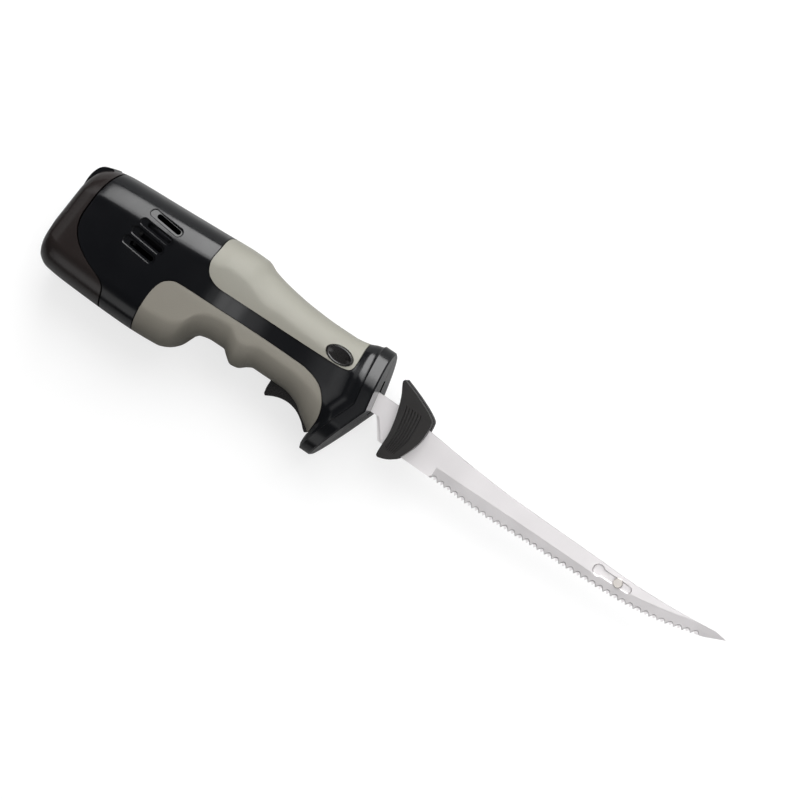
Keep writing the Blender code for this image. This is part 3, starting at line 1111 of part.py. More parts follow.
def make_pack(cavity):
    """Battery pack: shell, tray with two cells, board, contacts, charging socket and latch."""
    rear_zone = [(x - SEAM / 2, y) for x, y in smoothed(PACK_SEAM, 2)]
    zone = tool("rear_zone", prism(rear_zone + [(-FAR, -FAR), (-FAR, 0.040)], -FAR, FAR))
    shell = piece("pack_shell", body_form(0), "pack_black")
    pocket = tool("latch_pocket", rotated_box((LATCH_BAND[0] - GAP, LATCH_BAND[1] + GAP),
                                              (-0.060, 0.004), LATCH_HALF + GAP))
    jack_hole = tool("jack_hole", rod("X", (0, JACK_Y, 0), JACK_R + GAP, -FAR, COVER_REAR))
    keep_within(shell, zone)
    cut(shell, cavity, pocket, jack_hole)

    radius = tray_r()
    middle = CELL_R + GAP + CELL_WEB / 2
    front = TRAY_REAR + CELL_LENGTH + TRAY_WALL + 2 * GAP
    turn = Matrix(((0, 0, 1, 0), (0, 1, 0, 0), (1, 0, 0, 0), (0, 0, 0, 1)))
    tray_shape = prism(stadium((0, CELL_Y), 2 * (middle + radius), 2 * radius, 0, 10), TRAY_REAR, front)
    bmesh.ops.transform(tray_shape, matrix=turn, verts=tray_shape.verts)
    tray = piece("cell_tray", tray_shape, "matte_black")
    for side in (1, -1):
        name = side_name(side)
        centre = (0, CELL_Y, side * middle)
        bore = tool("cell_bore_" + name, rod("X", centre, CELL_R + GAP, TRAY_REAR - FAR,
                                             front - TRAY_WALL, 28))
        cut(tray, bore)
        start = TRAY_REAR + GAP
        cell = [(start, 0), (start, CELL_R), (start + CELL_LENGTH - 0.0015, CELL_R),
                (start + CELL_LENGTH - 0.0015, CELL_R * 0.4), (start + CELL_LENGTH, CELL_R * 0.4),
                (start + CELL_LENGTH, 0)]
        piece("cell_" + name, turned(cell, "X", centre, 28), "cell_wrap")

    tray_top = CELL_Y + radius
    board = (tray_top + GAP, board_top())
    piece("protection_board", box((BOARD_REAR, BOARD_FRONT), board, (-BOARD_HALF, BOARD_HALF)),
          "board_green")
    socket = piece("pack_socket", box((SOCKET_REAR, BOARD_FRONT), (board[1] + GAP, SOCKET_TOP),
                                      (-SOCKET_HALF, SOCKET_HALF)), "matte_black")
    middle_y = (board[1] + GAP + SOCKET_TOP) / 2
    plug_rear = BOARD_FRONT + GAP
    plug = piece("body_plug", box((plug_rear, plug_rear + PLUG_LENGTH), (board[1] + GAP, SOCKET_TOP),
                                  (-SOCKET_HALF, SOCKET_HALF)), "matte_black")
    reach = 0.0060
    for side in (1, -1):
        name = side_name(side)
        z = side * CONTACT_Z
        way = box((plug_rear - reach - 2 * GAP, plug_rear),
                  (middle_y - CONTACT_RISE - GAP, middle_y + CONTACT_RISE + GAP),
                  (z - CONTACT_HALF - GAP, z + CONTACT_HALF + GAP))
        cut(socket, tool("contact_way_" + name, way))
        blade = box((plug_rear - reach, plug_rear + PLUG_LENGTH / 2),
                    (middle_y - CONTACT_RISE, middle_y + CONTACT_RISE), (z - CONTACT_HALF, z + CONTACT_HALF))
        join(plug, tool("contact_" + name, blade))

    cover = piece("pack_cover", body_form(REAR_WALL + GAP, count=CAVITY_POINTS), "matte_black")
    keep_within(cover, tool("cover_zone", box((COVER_REAR, COVER_REAR + COVER),
                                              (tray_top + GAP, COVER_TOP), (-FAR, FAR))))
    jack = piece("charge_jack", box((JACK_FACE + REAR_WALL + 0.0004, COVER_REAR - GAP),
                                    (JACK_Y - JACK_HALF, JACK_Y + JACK_HALF),
                                    (-JACK_HALF, JACK_HALF)), "matte_black")
    join(jack, tool("jack_collar", rod("X", (0, JACK_Y, 0), JACK_R, JACK_FACE,
                                       JACK_FACE + 2 * REAR_WALL)))
    depth = COVER_REAR - GAP - 0.0015
    cut(jack, tool("jack_bore", rod("X", (0, JACK_Y, 0), JACK_BORE_R, -FAR, depth)))
    piece("jack_pin", rod("X", (0, JACK_Y, 0), JACK_PIN_R, JACK_FACE + 0.0010, depth - GAP, 14),
          "brass")

    proud = body_form(-LATCH_PROUD, REAR_X - LATCH_PROUD)
    latch = piece("pack_latch", proud, "black_shell")
    back = REAR_WALL + GAP + LATCH_LIP
    keep_within(latch, tool("latch_zone", rotated_box(LATCH_BAND, (-0.060, 0.003), LATCH_HALF)))
    lip = tool("latch_lip", body_form(REAR_WALL + GAP, REAR_X + REAR_WALL + GAP))
    lip_zone = tool("latch_lip_zone", rotated_box(
        (LATCH_BAND[0] - 4 * GAP, LATCH_BAND[1] - GAP), (-0.060, 0.001), LATCH_HALF + 4 * GAP))
    keep_within(lip, lip_zone)
    join(latch, lip)
    cut(latch, tool("latch_back", body_form(back, REAR_X + back)))
    arm_rear = REAR_X + back
    arm = [(arm_rear, ARM_FOOT), (BULKHEAD_X + 2 * BULKHEAD, ARM_FOOT),
           (BULKHEAD_X + 2 * BULKHEAD, ARM_TOP),
           (BULKHEAD_X + 1.4 * BULKHEAD, NOSE_TOP), (BULKHEAD_X + BULKHEAD + GAP, NOSE_TOP),
           (BULKHEAD_X + BULKHEAD + GAP, ARM_TOP), (arm_rear, ARM_TOP)]
    join(latch, tool("latch_arm", prism(arm, -ARM_HALF, ARM_HALF)))
    spring_rear = arm_rear + REAR_SLOPE * (LATCH_SPRING_Y - REAR_FOOT) + GAP
    piece("latch_spring", coil("X", (0, LATCH_SPRING_Y, 0), LATCH_SPRING_R, 0.0003, spring_rear,
                               COVER_REAR - GAP, 3), "plain_steel")


clear_scene()
frame_empty = bpy.data.objects.new("knife_frame", None)
frame_empty.location = (-(REAR_X + TIP_X) / 2, -(CREST_TOP + FLANGE_FOOT) / 2, REAR_HALF)
bpy.context.scene.collection.objects.link(frame_empty)
inner_space = make_housing()
make_motor()
make_gears()
make_drivers()
make_buttons()
make_trigger()
make_blades()
make_pack(inner_space)
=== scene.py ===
"""Looks for a cordless electric fillet knife, lying on its left side.

Every size is in metres. Sections are laid out in the knife's own frame: X runs from the rear end to
the blade tip, Y towards the thumb side and Z towards the knife's right side, with Z = 0 on the plane
between the two housing halves and between the two blades. ORIGIN moves that frame to the row's.
"""

import math

import bmesh
import bpy
from mathutils import Matrix, Vector


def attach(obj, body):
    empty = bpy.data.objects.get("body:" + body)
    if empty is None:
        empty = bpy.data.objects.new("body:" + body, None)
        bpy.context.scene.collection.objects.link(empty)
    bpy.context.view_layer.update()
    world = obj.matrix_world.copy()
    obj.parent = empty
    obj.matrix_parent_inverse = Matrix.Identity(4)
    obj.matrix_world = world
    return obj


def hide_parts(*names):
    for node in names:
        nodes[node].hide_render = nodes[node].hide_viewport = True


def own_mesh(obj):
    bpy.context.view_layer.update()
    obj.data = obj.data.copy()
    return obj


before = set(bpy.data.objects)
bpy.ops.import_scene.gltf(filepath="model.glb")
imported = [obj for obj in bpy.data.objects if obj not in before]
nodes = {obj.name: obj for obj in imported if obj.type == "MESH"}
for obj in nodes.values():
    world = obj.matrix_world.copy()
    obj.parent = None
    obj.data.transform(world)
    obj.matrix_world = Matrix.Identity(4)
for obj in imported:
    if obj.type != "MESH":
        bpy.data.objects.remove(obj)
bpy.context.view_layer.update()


# Studio. A pale sweep of paper under the knife, lit by large soft boxes on the thumb side and over the
# blade. The paper adds a little light of its own to what the camera sees, so that it stays near white
# while it keeps the knife's soft shadow.
ORIGIN = Vector((-0.2046, 0.0057, 0.0250))
VIEW_TARGET = ORIGIN + Vector((0.2015, 0.0084, 0))
VIEW_DISTANCE = 2.0
VIEW_SPAN = 0.4185
PAPER_RADIUS = 4.0
PAPER_GLOW = 0.70
SURROUNDINGS = 0.06
TOWARDS_TIP = math.radians(8)
TOWARDS_THUMB = math.radians(5)
KNIFE_ANGLE = math.radians(34)
SENSOR = 36.0


def linear(code):
    """Red, green, blue and alpha of an sRGB hex value, as linear light."""
    parts = [int(code[i:i + 2], 16) / 255 for i in (1, 3, 5)]
    return (*[p / 12.92 if p < 0.04045 else ((p + 0.055) / 1.055) ** 2.4 for p in parts], 1)


def add_node(tree, kind, settings=None, **sockets):
    """A new shader node with its settings, its values, and links from other nodes' outputs."""
    node = tree.nodes.new("ShaderNode" + kind)
    for setting, value in (settings or {}).items():
        setattr(node, setting, value)
    for name, value in sockets.items():
        target = node.inputs[int(name[1:]) if name[1:].isdigit() else name.replace("_", " ")]
        if isinstance(value, bpy.types.NodeSocket):
            tree.links.new(value, target)
        else:
            target.default_value = value
    return node


def mapped(tree, value, span, result):
    """A value mapped from one span to another."""
    return add_node(tree, "MapRange", i0=value, i1=span[0], i2=span[1], i3=result[0],
                    i4=result[1]).outputs[0]


def principled(tree, **sockets):
    """The one shader of a material, and its output."""
    shader = add_node(tree, "BsdfPrincipled", **sockets)
    add_node(tree, "OutputMaterial", Surface=shader.outputs[0])


def new_material(name):
    """A material with an empty node tree."""
    made = bpy.data.materials.new(name)
    made.use_nodes = True
    made.node_tree.nodes.clear()
    return made, made.node_tree


def paper_material():
    """Matte white background paper: it scatters light evenly and has no gloss."""
    made, tree = new_material("background_paper")
    paper = add_node(tree, "BsdfDiffuse", Color=linear("#9A9A9A"))
    glow = add_node(tree, "Emission", Color=linear("#FFFFFF"), Strength=PAPER_GLOW)
    seen = add_node(tree, "LightPath").outputs["Is Camera Ray"]
    share = add_node(tree, "MixShader", i0=seen, i2=glow.outputs[0])
    both = add_node(tree, "AddShader", i0=paper.outputs[0], i1=share.outputs[0])
    add_node(tree, "OutputMaterial", Surface=both.outputs[0])
    return made


paper = bmesh.new()
bmesh.ops.create_circle(paper, cap_ends=True, segments=64, radius=PAPER_RADIUS)
paper_mesh = bpy.data.meshes.new("paper")
paper.to_mesh(paper_mesh)
paper.free()
floor = bpy.data.objects.new("paper", paper_mesh)
floor.data.materials.append(paper_material())
bpy.context.scene.collection.objects.link(floor)

towards_camera = Vector((math.sin(TOWARDS_TIP) * math.cos(TOWARDS_THUMB), math.sin(TOWARDS_THUMB),
                         math.cos(TOWARDS_TIP) * math.cos(TOWARDS_THUMB)))
along = (Vector((1, 0, 0)) - towards_camera * towards_camera.x).normalized()
across = towards_camera.cross(along)
camera_right = along * math.cos(KNIFE_ANGLE) + across * math.sin(KNIFE_ANGLE)
camera_up = across * math.cos(KNIFE_ANGLE) - along * math.sin(KNIFE_ANGLE)
camera = bpy.data.objects.new("camera", bpy.data.cameras.new("camera"))
camera.data.sensor_width = SENSOR
camera.data.lens = SENSOR * VIEW_DISTANCE / VIEW_SPAN
camera.matrix_world = Matrix.Translation(VIEW_TARGET + towards_camera * VIEW_DISTANCE) @ Matrix(
    (camera_right, camera_up, towards_camera)).transposed().to_4x4()
bpy.context.scene.collection.objects.link(camera)
bpy.context.scene.camera = camera


def soft_box(name, off_zenith, bearing, distance, size, radiance):
    """A rectangular lamp that faces the knife, placed by two angles in degrees, bearing from +X."""
    tilt, turn = math.radians(off_zenith), math.radians(bearing)
    place = Vector((math.sin(tilt) * math.cos(turn), math.sin(tilt) * math.sin(turn), math.cos(tilt)))
    lamp = bpy.data.lights.new(name, "AREA")
    lamp.shape = "RECTANGLE"
    lamp.size, lamp.size_y = size
    lamp.energy = math.pi * size[0] * size[1] * radiance
    made = bpy.data.objects.new(name, lamp)
    made.location = place * distance
    made.rotation_euler = place.to_track_quat("Z", "Y").to_euler()
    bpy.context.scene.collection.objects.link(made)


soft_box("thumb_side_box", 56, 90, 1.8, (1.5, 1.7), 6.4)
soft_box("thumb_top_box", 26, 90, 1.8, (1.5, 0.36), 3.2)
soft_box("tip_side_box", 33, 15, 2.4, (2.2, 2.2), 1.1)
soft_box("rear_side_box", 48, 160, 2.4, (1.6, 1.6), 0.8)
soft_box("palm_side_box", 62, 270, 2.0, (2.2, 0.9), 0.8)
soft_box("blade_box", 9, -30, 0.63, (0.46, 0.30), 0.78)

world = bpy.data.worlds.new("studio")
world.use_nodes = True
world.node_tree.nodes["Background"].inputs["Color"].default_value = linear("#FFFFFF")
world.node_tree.nodes["Background"].inputs["Strength"].default_value = SURROUNDINGS
bpy.context.scene.world = world
bpy.context.scene.view_settings.view_transform = "Standard"


# Housing halves. Two glossy black injection-moulded shells meet on the blade plane and are held by five
# screws from the left. Each is the smooth body form, hollowed round its ribs and posts, and cut back for
# the soft grips, the vents, the release button, the trigger and the blade slot.
REAR_X = -0.0030
NOSE = 0.1922
TIP_X = 0.4122
GAP = 0.0003
SEAM = 0.0009
PART_GAP = 0.00015
EASE = 0.0008
REAR_WALL = 0.0024
GRIP_WALL = 0.0038
WALL_STEP = (0.0570, 0.0610)
FRONT_WALL = 0.0032
GRIP_SKIN = 0.0016
POCKET_MARGIN, PAD_MARGIN = 0.0004, 0.0002
FAR = 0.0600
CREST = 0.0307
FLANGE_REAR = NOSE - 0.0075
TOP_LINE = [
    (REAR_X, 0.0180), (-0.0015, 0.0212), (0.0015, 0.0238), (0.007, 0.0258), (0.020, 0.0271),
    (0.050, 0.0285), (0.078, 0.0299), (0.094, CREST), (0.1017, 0.0306), (0.109, 0.0279),
    (0.1199, 0.0255), (0.136, 0.0234), (0.152, 0.0226), (0.1672, 0.0227), (0.1764, 0.0239),
    (0.1812, 0.0257), (FLANGE_REAR, 0.0276 - EASE), (FLANGE_REAR + EASE, 0.0276),
    (NOSE - EASE, 0.0276), (NOSE, 0.0276 - EASE),
]
BOTTOM_LINE = [
    (REAR_X, -0.0225), (-0.0015, -0.0295), (0.0015, -0.0345), (0.007, -0.0375), (0.020, -0.0387),
    (0.058, -0.0398), (0.078, -0.0388), (0.082, -0.0375), (0.0862, -0.0338), (0.0898, -0.0262),
    (0.094, -0.0224), (0.1017, -0.0208), (0.109, -0.0208), (0.1125, -0.0234), (0.1165, -0.0260),
    (0.1199, -0.0255), (0.1235, -0.0228), (0.128, -0.0208), (0.146, -0.0208), (0.1593, -0.0234),
    (0.1672, -0.0265), (0.1764, -0.0307), (0.1812, -0.0338), (0.1838, -0.0400),
    (FLANGE_REAR, -0.0421 + EASE), (FLANGE_REAR + EASE, -0.0421),
    (NOSE - EASE, -0.0421), (NOSE, -0.0421 + EASE),
]
SIDE_LINE = [
    (REAR_X, 0.0165), (-0.0015, 0.0205), (0.0015, 0.0232), (0.007, 0.0246), (0.014, 0.0250),
    (0.0862, 0.0250), (0.094, 0.0243), (0.1017, 0.0226), (0.1125, 0.0203), (0.128, 0.0188),
    (0.152, 0.0183), (0.1672, 0.0176), (0.1764, 0.0170), (0.1812, 0.0178),
    (FLANGE_REAR, 0.0190 - EASE), (FLANGE_REAR + EASE, 0.0190),
    (NOSE - EASE, 0.0190), (NOSE, 0.0190 - EASE),
]
SQUARENESS_LINE = [(REAR_X, 3.0), (0.078, 3.2), (0.109, 2.6), (0.1672, 2.5), (0.1838, 2.2),
                   (NOSE, 2.2)]
SIDE_FLATTENING = 1.055
REAR_SLOPE, REAR_FOOT, REAR_LEAN_END = 0.100, -0.0225, 0.020
NOSE_Y, UPPER_SLOPE, LOWER_SLOPE = -0.0052, 0.163, 0.394
LEAN_START, LEAN_END = 0.146, 0.177
CAP_ROWS = 8
PACK_SEAM = [
    (0.0138, 0.0400), (0.0138, 0.0270), (0.0125, 0.0205), (0.0115, 0.0138), (0.0107, 0.0048),
    (0.0106, -0.0028), (0.0124, -0.0092), (0.0171, -0.0151), (0.0228, -0.0190), (0.0292, -0.0221),
    (0.0362, -0.0248), (0.0400, -0.0280), (0.0414, -0.0330), (0.0417, -0.0388), (0.0417, -0.0600),
]
UPPER_GRIP = [
    (0.0812, 0.0450), (0.0813, 0.0300), (0.0818, 0.0233), (0.0817, 0.0158), (0.0840, 0.0103),
    (0.0882, 0.0072), (0.0943, 0.0058), (0.1640, 0.0063), (0.1728, 0.0077), (0.1745, 0.0113),
    (0.1728, 0.0240), (0.1700, 0.0450),
]
LOWER_GRIP = [
    (0.0632, -0.0550), (0.0632, -0.0395), (0.0630, -0.0232), (0.0634, -0.0152), (0.0656, -0.0082),
    (0.0698, -0.0046), (0.0739, -0.0035), (0.0968, -0.0031), (0.1485, -0.0033), (0.1578, -0.0046),
    (0.1650, -0.0079), (0.1705, -0.0147), (0.1726, -0.0224), (0.1717, -0.0309), (0.1704, -0.0338),
    (0.1690, -0.0550),
]
VENT_COUNT, VENT_FIRST, VENT_STEP = 4, (0.0503, 0.0191), (-0.00145, -0.0065)
VENT_LENGTH, VENT_HEIGHT, VENT_DEPTH, VENT_TILT = 0.0208, 0.0046, 0.0016, math.radians(-6)
VENT_HOLE_LENGTH, VENT_HOLE_HEIGHT = 0.0158, 0.0027
VENT_HOLE_FOOT, VENT_FLARE_SPAN, VENT_FLARE = -0.0064, (-0.0005, 0.0010), 0.0015
BUTTON, BUTTON_LENGTH, BUTTON_HEIGHT = (0.1644, 0.0116), 0.0156, 0.0088
BUTTON_BORE_FOOT = 0.0075
PIVOT, PIN_R, PIN_HALF = (0.1660, -0.0235), 0.0013, 0.0088
SLOT_REAR, SLOT_FRONT, SLOT_STEP, SLOT_HALF = 0.1388, 0.1712, -0.0167, 0.0063
TRIGGER_SLOT = [(SLOT_REAR, -FAR), (SLOT_FRONT, -FAR), (SLOT_FRONT, -0.0152), (0.1369, -0.0152),
                (0.1369, SLOT_STEP), (SLOT_REAR, SLOT_STEP)]
BLADE_SLOT = (0.1622, 0.2022), (-0.0080, 0.0120), (-0.0022, 0.0022)
SCREWS = [(0.0262, 0.0020), (0.0788, 0.0230), (0.1105, -0.0130), (0.1380, 0.0140), (0.1765, -0.0170)]
SCREW_SINK, SCREW_BORE_R, SCREW_BORE_END = 0.0030, 0.0030, 0.0083
POST_R = 0.0042
RIB = 0.002
MOTOR_RIBS, MOTOR_RIB_FOOT, MOTOR_Y, MOTOR_R = (0.0400, 0.0650), -0.0010, 0.0090, 0.01385
BOXED_RIBS = [(0.0835, -FAR, (-0.0163, 0.0148), 0.0097), (0.0970, -FAR, (-0.0163, 0.0148), 0.0097),
              (0.1230, -FAR, (-0.0114, 0.0114), 0.0075), (0.0190, -0.0052, (0.0164, 0.0209), 0.0043)]
SHELF = (0.1577, 0.1623), (-0.0124, -0.0106), (-FAR, FAR)
CHEEKS = [((0.1480, 0.1520), (-FAR, -0.0092), (0.0035, FAR)),
          ((0.1626, 0.1694), (-0.0269, -0.0201), (0.0063, FAR)),
          ((0.06855, 0.07055), (-0.0097, -0.0055), (0.0083, FAR))]


def line_at(line, station):
    """Value on a smooth line through (station, value) pairs that never overshoots them."""
    if station <= line[0][0]:
        return line[0][1]
    if station >= line[-1][0]:
        return line[-1][1]
    k = next(i for i in range(len(line) - 1) if station <= line[i + 1][0])
    slopes = [(b[1] - a[1]) / (b[0] - a[0]) for a, b in zip(line, line[1:])]

    def tangent(i):
        if i == 0 or i == len(slopes) or slopes[i - 1] * slopes[i] <= 0:
            return 0
        return 2 * slopes[i - 1] * slopes[i] / (slopes[i - 1] + slopes[i])

    span = line[k + 1][0] - line[k][0]
    t = (station - line[k][0]) / span
    ends = line[k][1] * (1 + 2 * t) * (1 - t) ** 2 + line[k + 1][1] * (3 - 2 * t) * t * t
    return ends + span * t * (1 - t) * (tangent(k) * (1 - t) - tangent(k + 1) * t)


def ramp(value, low, high):
    """0 below low, 1 above high, and a smooth rise between."""
    share = min(max((value - low) / (high - low), 0), 1)
    return share * share * (3 - 2 * share)


def leaned(station, y):
    """X of a point of a section, with the slopes of the rear face and of the nose."""
    rear = REAR_SLOPE * (y - REAR_FOOT) * (1 - ramp(station, REAR_X, REAR_LEAN_END))
    slope = -UPPER_SLOPE if y > NOSE_Y else LOWER_SLOPE
    return station + rear + slope * (y - NOSE_Y) * ramp(station, LEAN_START, LEAN_END)


def wall_at(station):
    """Thickness of the shell's wall, which grows under the grips."""
    return REAR_WALL + (GRIP_WALL - REAR_WALL) * ramp(station, *WALL_STEP)


def body_form(inset, start=REAR_X, end=NOSE, rows=150, around=112):
    """The closed body form between two stations, moved in by an inset or by the shell's wall."""
    marks = {start + (end - start) * i / rows for i in range(rows + 1)}
    marks.update(s for s, _ in BOTTOM_LINE + TOP_LINE if start < s < end)
    stations = sorted(marks)
    stations = [a for a, b in zip(stations, stations[1:]) if b - a > 0.00015] + [end]
    places = [(start, i / CAP_ROWS) for i in range(CAP_ROWS)] + [(s, 1.0) for s in stations]
    places += [(end, 1 - (i + 1) / CAP_ROWS) for i in range(CAP_ROWS)]
    shape = bmesh.new()
    bmesh.ops.create_grid(shape, x_segments=len(places) - 1, y_segments=around, size=0.5)
    rings = []
    for station, _ in places:
        depth = wall_at(station) if inset is None else inset
        rings.append((line_at(TOP_LINE, station) - depth, line_at(BOTTOM_LINE, station) + depth,
                      line_at(SIDE_LINE, station) - depth, 2 / line_at(SQUARENESS_LINE, station)))
    for vert in shape.verts:
        row = round((vert.co.x + 0.5) * (len(places) - 1))
        station, squash = places[row]
        top, foot, half, power = rings[row]
        turn = (vert.co.y + 0.5) * 2 * math.pi - math.pi / 2
        rise = math.copysign(abs(math.sin(turn)) ** power, math.sin(turn))
        reach = math.copysign(abs(math.cos(turn)) ** power, math.cos(turn)) * SIDE_FLATTENING
        if abs(math.cos(turn)) < 1e-5:
            reach = 0
        vert.co = (station, (top + foot) / 2 + rise * (top - foot) / 2,
                   half * min(max(reach, -1), 1) * squash)
    bmesh.ops.remove_doubles(shape, verts=shape.verts, dist=1e-6)
    if end > LEAN_START:
        everything = shape.verts[:] + shape.edges[:] + shape.faces[:]
        bmesh.ops.bisect_plane(shape, geom=everything, plane_co=(0, NOSE_Y, 0), plane_no=(0, 1, 0))
        bmesh.ops.remove_doubles(shape, verts=shape.verts, dist=2e-5)
    for vert in shape.verts:
        vert.co.x = leaned(vert.co.x, vert.co.y)
    bmesh.ops.recalc_face_normals(shape, faces=shape.faces)
    return shape


def side_at(station, y):
    """Height of the body's side over the middle plane, at a station and Y."""
    top, foot = line_at(TOP_LINE, station), line_at(BOTTOM_LINE, station)
    power = line_at(SQUARENESS_LINE, station)
    rise = min(abs(y - (top + foot) / 2) / ((top - foot) / 2), 1)
    return line_at(SIDE_LINE, station) * min((1 - rise**power) ** (1 / power) * SIDE_FLATTENING, 1)


def smoothed(points, steps=8):
    """Points along a smooth curve through the given ones."""
    marks = [Vector(p) for p in points]
    ends = [marks[0], *marks, marks[-1]]
    path = []
    for a, b, c, d in zip(ends, ends[1:], ends[2:], ends[3:]):
        span = (c - b).length
        leave = (c - a) * span / (span + (b - a).length)
        arrive = (d - b) * span / (span + (d - c).length)
        for i in range(steps):
            t = i / steps
            here = b * (1 + 2 * t) * (1 - t) ** 2 + c * (3 - 2 * t) * t * t
            path.append(tuple(here + leave * t * (1 - t) ** 2 - arrive * t * t * (1 - t)))
    return path + [tuple(marks[-1])]


def grown(outline, by):
    """Outline moved out by a distance."""
    area = sum(a[0] * b[1] - b[0] * a[1] for a, b in zip(outline, outline[1:] + outline[:1]))
    sign = by if area > 0 else -by
    moved = []
    for before, here, after in zip(outline[-1:] + outline[:-1], outline, outline[1:] + outline[:1]):
        run = (Vector(after) - Vector(before)).normalized()
        moved.append((here[0] + run.y * sign, here[1] - run.x * sign))
    return moved


def prism(outline, low, high, spread=0.0):
    """An outline in X and Y, extruded along Z. Its top may spread out by a distance."""
    shape = bmesh.new()
    foot = [shape.verts.new((x, y, low)) for x, y in outline]
    raised = bmesh.ops.extrude_face_region(shape, geom=[shape.faces.new(foot)])["geom"]
    below = dict(zip(foot, grown(outline, spread)))
    for vert in (v for v in raised if isinstance(v, bmesh.types.BMVert)):
        under = next(e.other_vert(vert) for e in vert.link_edges if e.other_vert(vert) in below)
        vert.co = (*below[under], high)
    bmesh.ops.recalc_face_normals(shape, faces=shape.faces)
    return shape


def box(x, y, z):
    """Block between two values on each axis."""
    return prism([(x[0], y[0]), (x[1], y[0]), (x[1], y[1]), (x[0], y[1])], z[0], z[1])


def turned(profile, axis, centre, segments=48):
    """A profile of (along, radius) pairs, spun about an axis through a point."""
    shape = bmesh.new()
    line = [shape.verts.new((along_axis, radius, 0)) for along_axis, radius in profile]
    edges = [shape.edges.new(pair) for pair in zip(line, line[1:])]
    if profile[0][1] > 0:
        edges.append(shape.edges.new((line[-1], line[0])))
    bmesh.ops.spin(shape, geom=line + edges, cent=(0, 0, 0), axis=(1, 0, 0), angle=2 * math.pi,
                   steps=segments, use_merge=True)
    bmesh.ops.remove_doubles(shape, verts=shape.verts, dist=1e-7)
    turn = {"X": Matrix(), "Y": Matrix.Rotation(math.pi / 2, 4, "Z"),
            "Z": Matrix.Rotation(-math.pi / 2, 4, "Y")}[axis]
    bmesh.ops.transform(shape, matrix=Matrix.Translation(centre) @ turn, verts=shape.verts)
    bmesh.ops.recalc_face_normals(shape, faces=shape.faces)
    return shape


def rod(axis, centre, radius, low, high, segments=48):
    """Round bar between two heights on an axis through a point."""
    return turned([(low, 0), (low, radius), (high, radius), (high, 0)], axis, centre, segments)


def oval(centre, length, height, count=64):
    """Outline of an ellipse."""
    turns = [2 * math.pi * i / count for i in range(count)]
    return [(centre[0] + length / 2 * math.cos(t), centre[1] + height / 2 * math.sin(t)) for t in turns]


def stadium(centre, length, height, tilt, steps=14):
    """Slot outline with round ends."""
    radius = height / 2
    reach = length / 2 - radius
    points = []
    for side in (1, -1):
        for i in range(steps + 1):
            turn = -math.pi / 2 + math.pi * i / steps
            x, y = side * (reach + radius * math.cos(turn)), side * radius * math.sin(turn)
            points.append((centre[0] + x * math.cos(tilt) - y * math.sin(tilt),
                           centre[1] + x * math.sin(tilt) + y * math.cos(tilt)))
    return points


def sided(shape, side):
    """The shape, or its mirror image for the left side."""
    if side < 0:
        bmesh.ops.scale(shape, verts=shape.verts, vec=(1, 1, -1))
        bmesh.ops.recalc_face_normals(shape, faces=shape.faces)
    return shape


def as_object(name, shape):
    """An object in the scene with this shape as its mesh."""
    mesh = bpy.data.meshes.new(name)
    shape.to_mesh(mesh)
    shape.free()
    made = bpy.data.objects.new(name, mesh)
    bpy.context.scene.collection.objects.link(made)
    return made


def carve(target, operation, *cutters):
    """Apply Booleans with the cutters, which are then removed."""
    for cutter in cutters:
        step = target.modifiers.new("carve", "BOOLEAN")
        step.operation = operation
        step.solver = "MANIFOLD"
        step.object = cutter
    bpy.context.view_layer.update()
    carved = target.evaluated_get(bpy.context.evaluated_depsgraph_get())
    mesh = bpy.data.meshes.new_from_object(carved)
    target.modifiers.clear()
    target.data = mesh
    for cutter in cutters:
        bpy.data.objects.remove(cutter)
    return target


def add_piece(piece, material, body, *stands_for, edge=0.0, segments=2, crease=32):
    """Finish a piece: place, shading, soft edges, material, and the CAD body and nodes it goes with."""
    piece.data.transform(Matrix.Translation(ORIGIN))
    piece.data.materials.clear()
    piece.data.materials.append(material)
    piece.data.shade_smooth()
    piece.data.set_sharp_from_angle(angle=math.radians(crease))
    if edge:
        soft = piece.modifiers.new("soft_edge", "BEVEL")
        soft.width = edge
        soft.segments = segments
        soft.limit_method = "ANGLE"
        soft.angle_limit = math.radians(crease)
        soft.use_clamp_overlap = True
    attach(piece, body)
    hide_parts(*stands_for)


def hollow(name):
    """Hollow of the body inside the shell's wall."""
    return as_object(name, body_form(None, REAR_X + REAR_WALL, NOSE - FRONT_WALL, rows=60, around=56))


def button_bore(side):
    """Bore for one release button, through shell and grip."""
    bore = oval(BUTTON, BUTTON_LENGTH + 2 * GAP, BUTTON_HEIGHT + 2 * GAP)
    return as_object("button_bore", sided(prism(bore, BUTTON_BORE_FOOT, FAR), side))


def rib(x, foot, seat):
    """Cross rib of the housing, cut away round the part that it seats."""
    return carve(as_object("rib", box((x, x + RIB), (foot, CREST), (-FAR, FAR))), "DIFFERENCE",
                 as_object("seat", seat))


def vent_cutters(number):
    """Slot, flared rim and through hole of one vent, on the slope of the body's side."""
    x, y = VENT_FIRST[0] + number * VENT_STEP[0], VENT_FIRST[1] + number * VENT_STEP[1]
    height, slope = side_at(x, y), (side_at(x, y + 0.001) - side_at(x, y - 0.001)) / 0.002
    outline = stadium((x, y), VENT_LENGTH, VENT_HEIGHT, VENT_TILT)
    shift = (VENT_LENGTH - VENT_HOLE_LENGTH) / 2 - (VENT_HEIGHT - VENT_HOLE_HEIGHT) / 2
    hole = stadium((x + shift * math.cos(VENT_TILT), y + shift * math.sin(VENT_TILT)), VENT_HOLE_LENGTH,
                   VENT_HOLE_HEIGHT, VENT_TILT)
    shapes = [prism(outline, -VENT_DEPTH, FAR), prism(outline, *VENT_FLARE_SPAN, VENT_FLARE),
              prism(hole, VENT_HOLE_FOOT, FAR)]
    for shape in shapes:
        for vert in shape.verts:
            vert.co.z += height + slope * (vert.co.y - y)
    return shapes


